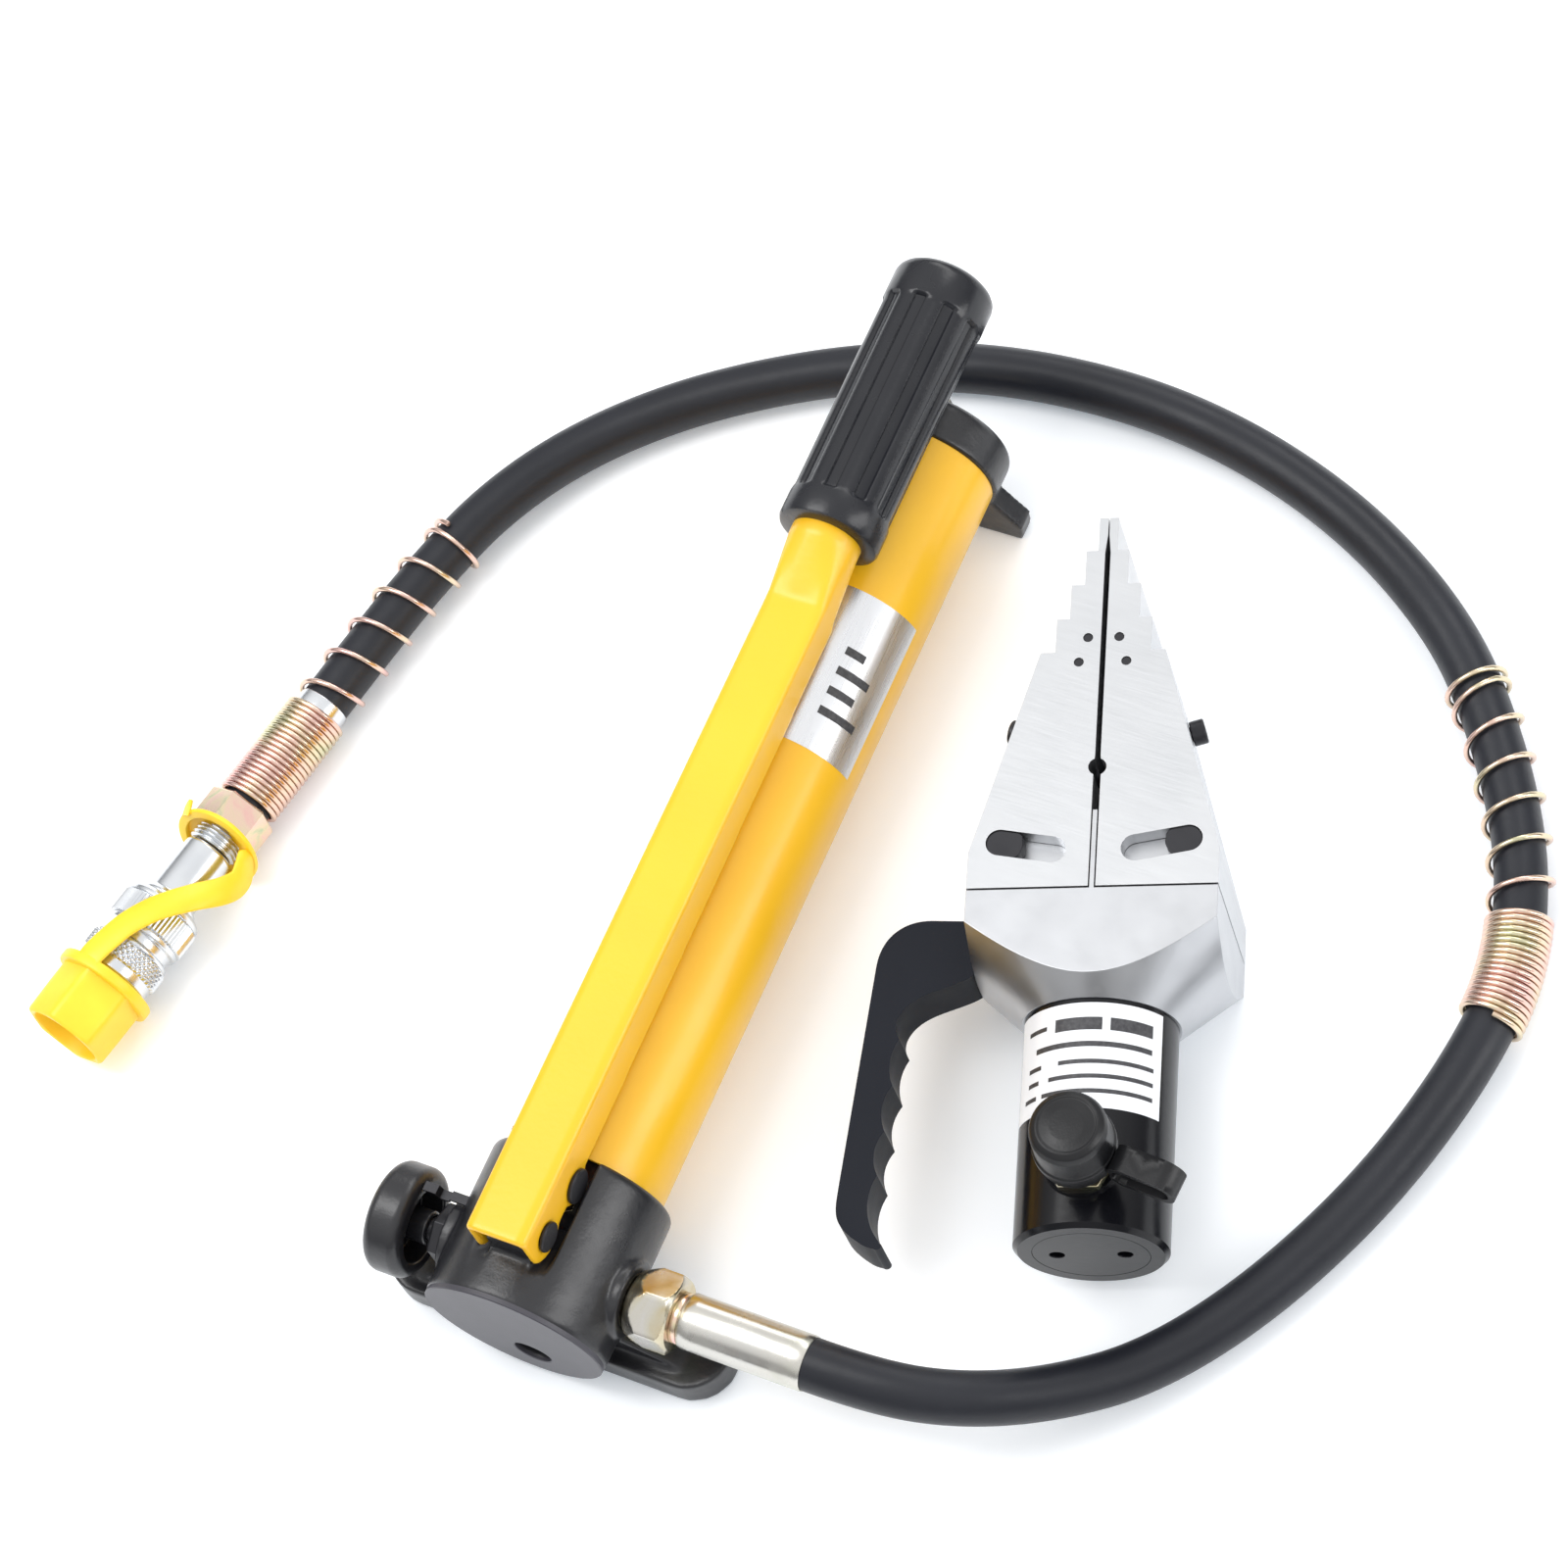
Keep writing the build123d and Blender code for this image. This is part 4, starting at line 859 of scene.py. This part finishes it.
def coupler():
    """Tail hexagon, threaded neck, body, the collar with its two knurled bands, and the sleeve under the end spring."""
    made = []
    tail = lathe("coupler_hex", rounded_profile(
        [(0.1, 9), (0.1, 12.2), (0.9, TAIL_CORNER), (11.2, TAIL_CORNER), (12, 12.2), (12, 9)], 0.25),
                 COUPLER, 96, hexagon(22.4, TAIL_CORNER))
    made.append(finished(tail, ROSE, "pump", ["hose_tail_fitting"], 25))
    made.append(finished(threaded("coupler_thread", 12, 20.4, 9.2, 1.5, COUPLER, 0.95), CHROME, "pump",
                         ["coupler_body"]))
    neck = lathe("coupler_neck", rounded_profile(
        [(20.2, 7), (20.2, 8.6), (21.2, 9.1), (41.5, 9.1), (43.2, 10.8), (44.2, 10.8), (44.2, 8)]), COUPLER)
    made.append(finished(neck, CHROME, "pump"))
    nose = lathe("coupler_nose", rounded_profile([(60, 6.2), (60, 9), (77.4, 9), (77.4, 6.2)]), COUPLER)
    made.append(finished(nose, CHROME, "pump"))
    core = lathe("collar_core", rounded_profile(
        [(44.5, 9.1), (44.5, 12.4), (46.2, 14.3), (47.6, 14.3), (47.9, 13.6), (57.6, 13.6), (58.2, 14.2), (59.8, 14.2),
         (60.6, 12.9), (63.6, 12.9), (64.4, 14.2), (65.4, 14.2), (65.8, 13.6), (72.8, 13.6), (73.2, 13.9),
         (76.6, 13.9), (77.3, 13.2), (77.3, 12.2)], 0.35), COUPLER, 96)
    made.append(finished(core, CHROME, "collar", ["coupler_collar"], 30))
    made.append(finished(knurled("collar_knurl_rear", 47.6, 58.0, 14.75, 0.6, COUPLER, 60, False), CHROME, "collar",
                         smooth=20))
    made.append(finished(knurled("collar_knurl_front", 65.4, 73.2, 14.9, 0.95, COUPLER, 38, True), CHROME, "collar",
                         smooth=20))
    sleeve_at, sleeve_dir, sleeve_up = LINE.at(end_stop - 47 * MM)
    sleeve = lathe("hose_sleeve", rounded_profile([(0, 8), (0, 9.3), (7.5, 9.3), (7.5, 8)], 0.4),
                   basis(sleeve_at, sleeve_dir, sleeve_up), 48)
    made.append(finished(sleeve, CHROME, "pump"))
    return made


PLUG_T = 78.0


def dust_plug():
    """Yellow plug: a spigot, a round flange and a hollow cup with six flats."""
    half_flats, corner, sharpness = 14.3, 16.1, 3

    def rounded_hex(a):
        flat = half_flats / math.cos(off_flat(a))
        return -math.log(math.exp(-flat * sharpness) + math.exp(-corner * sharpness)) / sharpness / corner
    spigot = [(PLUG_T - 12, 9.5), (PLUG_T - 12, 11.6), (PLUG_T - 11.4, 12.0), (PLUG_T - 0.6, 12.0), (PLUG_T, 12.5)]
    flange = rounded_profile([(PLUG_T, 12.5), (PLUG_T, 18.2), (PLUG_T + 4, 18.2), (PLUG_T + 4, 16.2)], 0.9)
    outside = ((4.0, 16.15), (4.6, 16.0), (12, 16.0), (23.6, 15.8), (24.6, 15.5), (25, 15.0))
    hollow = ((25, 13.4), (24.6, 12.9), (23.5, 12.7), (12.4, 12.6), (11.4, 12.2), (11, 11.0), (11, 0.4))
    rings = circles(spigot + flange[1:], 96)
    rings += circles([(PLUG_T + h, r) for h, r in outside], 96, rounded_hex)
    rings += circles([(PLUG_T + h, r) for h, r in hollow], 96)
    return finished(skin("plug_body", rings, COUPLER), YELLOW_PLASTIC, "hose_plug", ["dust_plug"], 40)


def polar(height, turn, radius):
    """Point at that height along an axis, turn in degrees and radius."""
    a = math.radians(turn)
    return Vector((math.cos(a) * radius, math.sin(a) * radius, height))


def lanyard():
    """The loose ring round the coupler's waist with its tab, and the strap from it over the collar to the plug."""
    tilt = Matrix.Rotation(math.radians(16), 4, "Y") @ Matrix.Rotation(math.radians(6), 4, "X")
    place = COUPLER @ Matrix.Translation((-0.5 * MM, -0.8 * MM, 16.6 * MM)) @ tilt
    ring = lathe("lanyard_loop", rounded_profile(
        [(-0.9, 12.9), (-0.9, 16.3), (0.9, 16.3), (0.9, 12.9), (-0.9, 12.9)], 0.5), place, 96)
    finished(ring, YELLOW_PLASTIC, "pump", ["lanyard_ring"])
    stations = []
    for t, turn, r, lean in ((15.5, -66, 14.8, -60), (19, -76, 16.8, -74), (25, -80, 18.8, -62), (32, -68, 19.4, -36),
                             (41, -46, 18.8, -16), (51, -24, 18.2, -4), (61, -8, 17.8, 2), (70, 0, 17.6, 4),
                             (76, 4, 17.4, 5), (79, 5, 17.0, 5)):
        stations.append((polar(t, turn, r), polar(0, lean, 1)))
    strap = ribbon("lanyard_band", stations, 9.8, 1.5, COUPLER)
    strap.data.materials.append(YELLOW_PLASTIC)
    shaded_smooth(strap.data)
    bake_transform(strap)
    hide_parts("lanyard_strap")
    out = polar(0, 44, 1)
    tab = ribbon("lanyard_tab", [(polar(h, 44, r), out) for h, r in ((10.8, 16.8), (13, 16.1), (16.4, 14.8))], 4.4, 1.4,
                 COUPLER, narrow=12)
    finished(tab, YELLOW_PLASTIC, "pump")
    return ring, strap, tab


coupler_pieces = coupler()
plug = dust_plug()
lanyard_pieces = lanyard()


# ---------------------------------------------------------------- pump
def ferrule():
    """The hose's swaged ferrule at the pump, with eight shallow crimps."""
    place = basis(ROUTE[0] - Vector((47 * MM, 0, 0)), (1, 0, 0))
    radius = 9.4

    def crimp(a):
        return 1 - 0.016 * abs(math.cos(4 * a)) ** 6
    rings = circles([(0.4, 5), (0.4, 8.2), (2.6, 8.2), (2.8, 8.9), (3.4, radius), (7, radius)], 96)
    rings += circles([(h, radius) for h in (8.5, 20, 32, 41)], 96, crimp)
    rings += circles([(43, radius), (46.3, radius), (46.9, 9.1), (46.9, 8)], 96)
    finished(skin("swaged_ferrule", rings, place), SILVER, "pump", ["hose_ferrule"], 40)


def grip():
    """Moulded grip: plain bands at both ends, and crowned ribs between flat grooves along the middle."""
    low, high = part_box("lever_grip")
    start, end = low.y, high.y
    place = basis((0, start, (low.z + high.z) / 2), (0, 1, 0))
    length = (end - start) / MM
    r = (high.x - low.x) / 2 / MM
    grooves = 10
    count = grooves * 24
    rib, slope = 0.56, 0.1          # shares of half a pitch

    def ribbed(share):
        """Crowned ribs with flat-bottomed grooves between them, at this share of their full height."""
        def outline(a):
            side = abs((a / (2 * math.pi) * grooves) % 1.0 - 0.5) * 2
            crown = 0.35 + 0.45 * min(1.0, side / rib) ** 2
            drop = min(1.0, max(0.0, (side - rib) / slope))
            drop = drop * drop * (3 - 2 * drop)
            return 1 - (crown + drop * 0.95) * share / r
        return outline
    rings = circles([(0.0, 12.6), (0.0, r - 1.6), (0.4, r - 0.6), (1.6, r), (9.6, r), (10.4, r - 0.1)], count)
    for h, share in ((10.8, 0.3), (11.6, 0.85), (12.6, 1.0), (length * 0.5, 1.0), (length - 17.6, 1.0),
                     (length - 16.2, 0.9), (length - 15.6, 0.3)):
        rings += circles([(h, r)], count, ribbed(share))
    rings += circles([(length - 15.2, r - 0.1), (length - 14.6, r), (length - 5.0, r), (length - 3.2, r - 0.4),
                      (length - 1.7, r - 1.5), (length - 0.5, r - 3.3), (length - 0.05, r - 5.2), (length, r - 7.5),
                      (length, 0.5)], count)
    finished(skin("fluted_grip", rings, place), GRIP, "pump_lever", ["lever_grip"], 30)


def swivel_nut():
    """The hose's swivel nut, coned well down at the pump's end, and the neck between it and the ferrule."""
    low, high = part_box("hose_swivel_nut")
    place = basis((0, (low.y + high.y) / 2, (low.z + high.z) / 2), (1, 0, 0))
    start, end = low.x / MM, high.x / MM
    nut = hex_turned("turned_nut", 24, [(start, 7), (start, 10.2), (start + 0.6, 11.0), (start + 5.6, 13.3),
                                        (start + 6.6, 13.7), (end - 2.2, 13.7), (end - 1.2, 13.0), (end - 0.2, 11.6),
                                        (end, 11.2), (end, 7)], place)
    neck = lathe("nut_neck", rounded_profile([(end - 0.1, 6), (end - 0.1, 8.7), (end + 2.5, 8.7), (end + 2.5, 6)], 0.6),
                 place)
    finished(nut, ZINC, "pump", ["hose_swivel_nut"], 20)
    finished(neck, ROSE, "pump")


def saddle_filler(side):
    """Casting under a lever cheek's rounded front, which leaves the cheek room to swing."""
    reach = ((2.6, 61.5), (-1.0, 62.1), (-3.6, 63.3), (-8.0, 66.0), (-9.5, 67.2), (-15.5, 67.2), (-15.5, 54), (2.6, 54))
    rings = []
    for x in (7.0, 13.6):
        surface = PUMP_Z / MM + math.sqrt(HEAD_R ** 2 - x * x)
        rings.append([(side * x * MM, y * MM, min(z, surface) * MM) for y, z in reach])
    return skin(f"saddle_filler_{side}", rings)


def head_face():
    """Flat disc on the head's front, with the round hole through it."""
    place = basis((0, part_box("pump_head")[0].y, PUMP_Z), (0, 1, 0))
    hole = Matrix.Translation((-15 * MM, 3 * MM, 0))
    bore = [[hole @ Vector(p) for p in ring] for ring in circles([(1.6, 6.6), (0, 6.6), (-0.25, 7.0)], 96)]
    rim = circles([(-0.25, 31.2), (0.1, 31.5), (1.6, 31.5)], 96)
    # the disc wears the paler painted-reflection material
    finished(skin("head_face", bore + rim, place, closed_ends=False), FACE_PAINTED_REFLECTION, "pump", smooth=30)


def small_parts():
    """The release knob's stepped stop, and the spring clip beside the lever."""
    low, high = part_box("release_spindle")
    y, top = (low.y + high.y) / 2 / MM, high.z / MM
    section = ((-1.6, -0.7), (1.6, -0.7), (1.6, 0.7), (-1.6, 0.7))
    steps = ((-22, 9.5), (-34.4, 9.5), (-35.2, 7.4), (-38.6, 7.4), (-39.4, 10.4), (-44.2, 10.4))
    stop = [[(x * MM, (y + 9 + u) * MM, (top + rise + v) * MM) for u, v in section] for x, rise in steps]
    clip = [[(x * MM, (at + u) * MM, z * MM) for x, u in ((-13.4, -w), (-14.5, -w), (-14.5, w), (-13.4, w))]
            for z, at, w in ((58, 27, 4), (66, 27.5, 3.2), (70, 28.5, 2.2), (73, 30, 1.2), (75.5, 32, 0.5))]
    finished(skin("release_stop", stop), OXIDE, "pump", smooth=20)
    finished(skin("spring_clip", clip), OXIDE, "pump", smooth=20)


def pump_label():
    """Silver foil band on the tube, with plain printed bars."""
    bars = ((-64, -44, 0.20, 0.42), (-38, -27, 0.20, 0.42), (-64, -30, 0.55, 0.60), (-64, -42, 0.68, 0.73),
            (30, 62, 0.22, 0.27), (30, 52, 0.35, 0.40), (30, 58, 0.48, 0.53), (30, 46, 0.61, 0.66))
    label("foil", PUMP_AXIS, TUBE_R, (-78, 78), 193 * MM, 252 * MM, 48, FOIL, "pump", bars, 12)


def pump():
    """The rest of the pump: castings, tube, lever, pins, valve and fittings."""
    cast("pump_head", CAST, 0.8 * MM, 7, [saddle_filler(1), saddle_filler(-1)])
    cast("tail_cap", CAST, 0.7 * MM, 5)
    softened("reservoir_tube", YELLOW, 0.3 * MM)
    cast("lever", YELLOW, 0.78 * MM, 9)
    softened("release_knob", CAST, 0.9 * MM, 3)
    softened("release_gland", OXIDE, 0.4 * MM)
    softened("release_spindle", OXIDE, 0.3 * MM)
    softened("fulcrum_pin", OXIDE, 0.3 * MM)
    softened("cross_pin", OXIDE, 0.3 * MM)
    softened("plunger", POLISHED, 0.3 * MM)
    softened("plunger_gland", ZINC, 0.3 * MM)
    softened("port_adapter", ZINC, 0.3 * MM)
    softened("tie_rod", ZINC, 0.3 * MM)
    softened("oil_filler_plug", ZINC, 0.3 * MM)
    ferrule()
    grip()
    head_face()
    swivel_nut()
    small_parts()
    pump_label()


pump()


# ---------------------------------------------------------------- spreader
def tool_label():
    """White data label on the barrel, with plain printed bars."""
    bars = ((16, 50, 0.74, 0.86), (-26, 10, 0.74, 0.86), (-54, -34, 0.78, 0.82), (-44, 50, 0.58, 0.63),
            (-22, 52, 0.42, 0.46), (-52, -38, 0.42, 0.46), (-30, 52, 0.28, 0.32), (-52, -40, 0.28, 0.32),
            (-36, 52, 0.14, 0.18), (-56, -42, 0.14, 0.18))
    label("data", TOOL_AXIS, BARREL_R, (-72, 60), 40.2 * MM, 76.5 * MM, 36, WHITE, "spreader", bars, 28)


def nipple_cap():
    """Domed rubber cap over the nipple."""
    low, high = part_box("tool_dust_cap")
    centre = (low + high) / 2
    place = basis((centre.x, centre.y, 0), (0, 0, 1), TOOL_DIR)
    base, top, r = low.z / MM, high.z / MM, (high.x - low.x) / 2 / MM
    cap = lathe("rubber_cap", rounded_profile(
        [(base + 13, 11.5), (base - 3.8, 11.5), (base - 3.8, r - 0.6), (base - 0.6, r - 0.4), (base, r),
         (base + 3.2, r), (base + 3.8, r - 0.7), (top - 4, r - 1.0), (top - 1.8, r - 1.8), (top - 0.7, r - 3.4),
         (top - 0.5, r - 4.0), (top - 0.9, r - 4.6), (top - 0.2, r - 8), (top, 0.4)], 0.5), place, 72)
    finished(cap, CAP_RUBBER, "nipple_cap", ["tool_dust_cap"], 50)


# The left jaw's flank from its foot to its top, across and along the tool, and how far up it the screw is.
FLANK_FOOT = (41.1, 127.0)
FLANK_TOP = (20.8, 199.3)
SCREW_ALONG = 59


def screw_thread():
    """Thread on the side screw that stands out of the left jaw's flank."""
    slope = Vector((FLANK_TOP[0] - FLANK_FOOT[0], FLANK_TOP[1] - FLANK_FOOT[1])).normalized()
    across = Vector((TOOL_DIR.y, -TOOL_DIR.x, 0))
    out = -across * slope.y - TOOL_DIR * slope.x
    foot = (TOOL_ORIGIN - across * (FLANK_FOOT[0] + slope.x * SCREW_ALONG) * MM
            + TOOL_DIR * (FLANK_FOOT[1] + slope.y * SCREW_ALONG) * MM)
    foot.z = middle_of("left_side_screw").z
    piece = threaded("left_screw_thread", 0.1, 5.9, 2.75, 0.8, basis(foot, out), 0.4)
    finished(piece, OXIDE, "jaw_left", smooth=30)


def cap_strap():
    """The cap's rubber strap, which runs from the ring on the barrel to the cap."""
    piece = copy_of("tool_cap_strap", "cap_strap")
    piece.data.materials.append(CAP_RUBBER)
    shaded_smooth(piece.data)
    work = bmesh.new()
    work.from_mesh(piece.data)
    for _ in range(2):
        bmesh.ops.subdivide_edges(work, edges=[e for e in work.edges if e.calc_length() > 2 * MM], cuts=1)
    bmesh.ops.triangulate(work, faces=work.faces)
    work.to_mesh(piece.data)
    work.free()
    piece.data.set_sharp_from_angle(angle=math.radians(40))
    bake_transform(piece)
    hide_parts("tool_cap_strap")


def spreader():
    """Barrel, block, jaws, wedge, handle and screws."""
    softened("barrel", GLOSS, 0.5 * MM, 3)
    softened("base_plug", GLOSS, 0.3 * MM)
    softened("guide_block", POLISHED, 0.5 * MM)
    for hand in ("left", "right"):
        softened(f"{hand}_jaw", GROUND, 0.4 * MM)
        softened(f"{hand}_side_screw", OXIDE, 0.2 * MM)
        softened(f"{hand}_slide_pin", OXIDE, 0.2 * MM)
        softened(f"{hand}_upper_shoe", OXIDE, 0.5 * MM)
        softened(f"{hand}_lower_shoe", OXIDE, 0.5 * MM)
        for number in (1, 2):
            softened(f"{hand}_dowel_{number}", OXIDE, 0.2 * MM)
    softened("wedge", OXIDE, 0.3 * MM)
    softened("handle", HANDLE, 1.2 * MM, 3)
    softened("handle_screw_1", OXIDE, 0.2 * MM)
    softened("handle_screw_2", OXIDE, 0.2 * MM)
    softened("tool_nipple", ZINC, 0.3 * MM)
    cap_strap()
    softened("tool_cap_ring", CAP_RUBBER, 0.4 * MM)
    nipple_cap()
    screw_thread()
    tool_label()


spreader()


# ---------------------------------------------------------------- hidden pieces, given their materials
for node, material in (("ram", POLISHED), ("ram_seal", CAP_RUBBER), ("suction_strainer", ZINC),
                       ("coupler_poppet", CHROME)):
    NODES[node].data.materials.clear()
    NODES[node].data.materials.append(material)
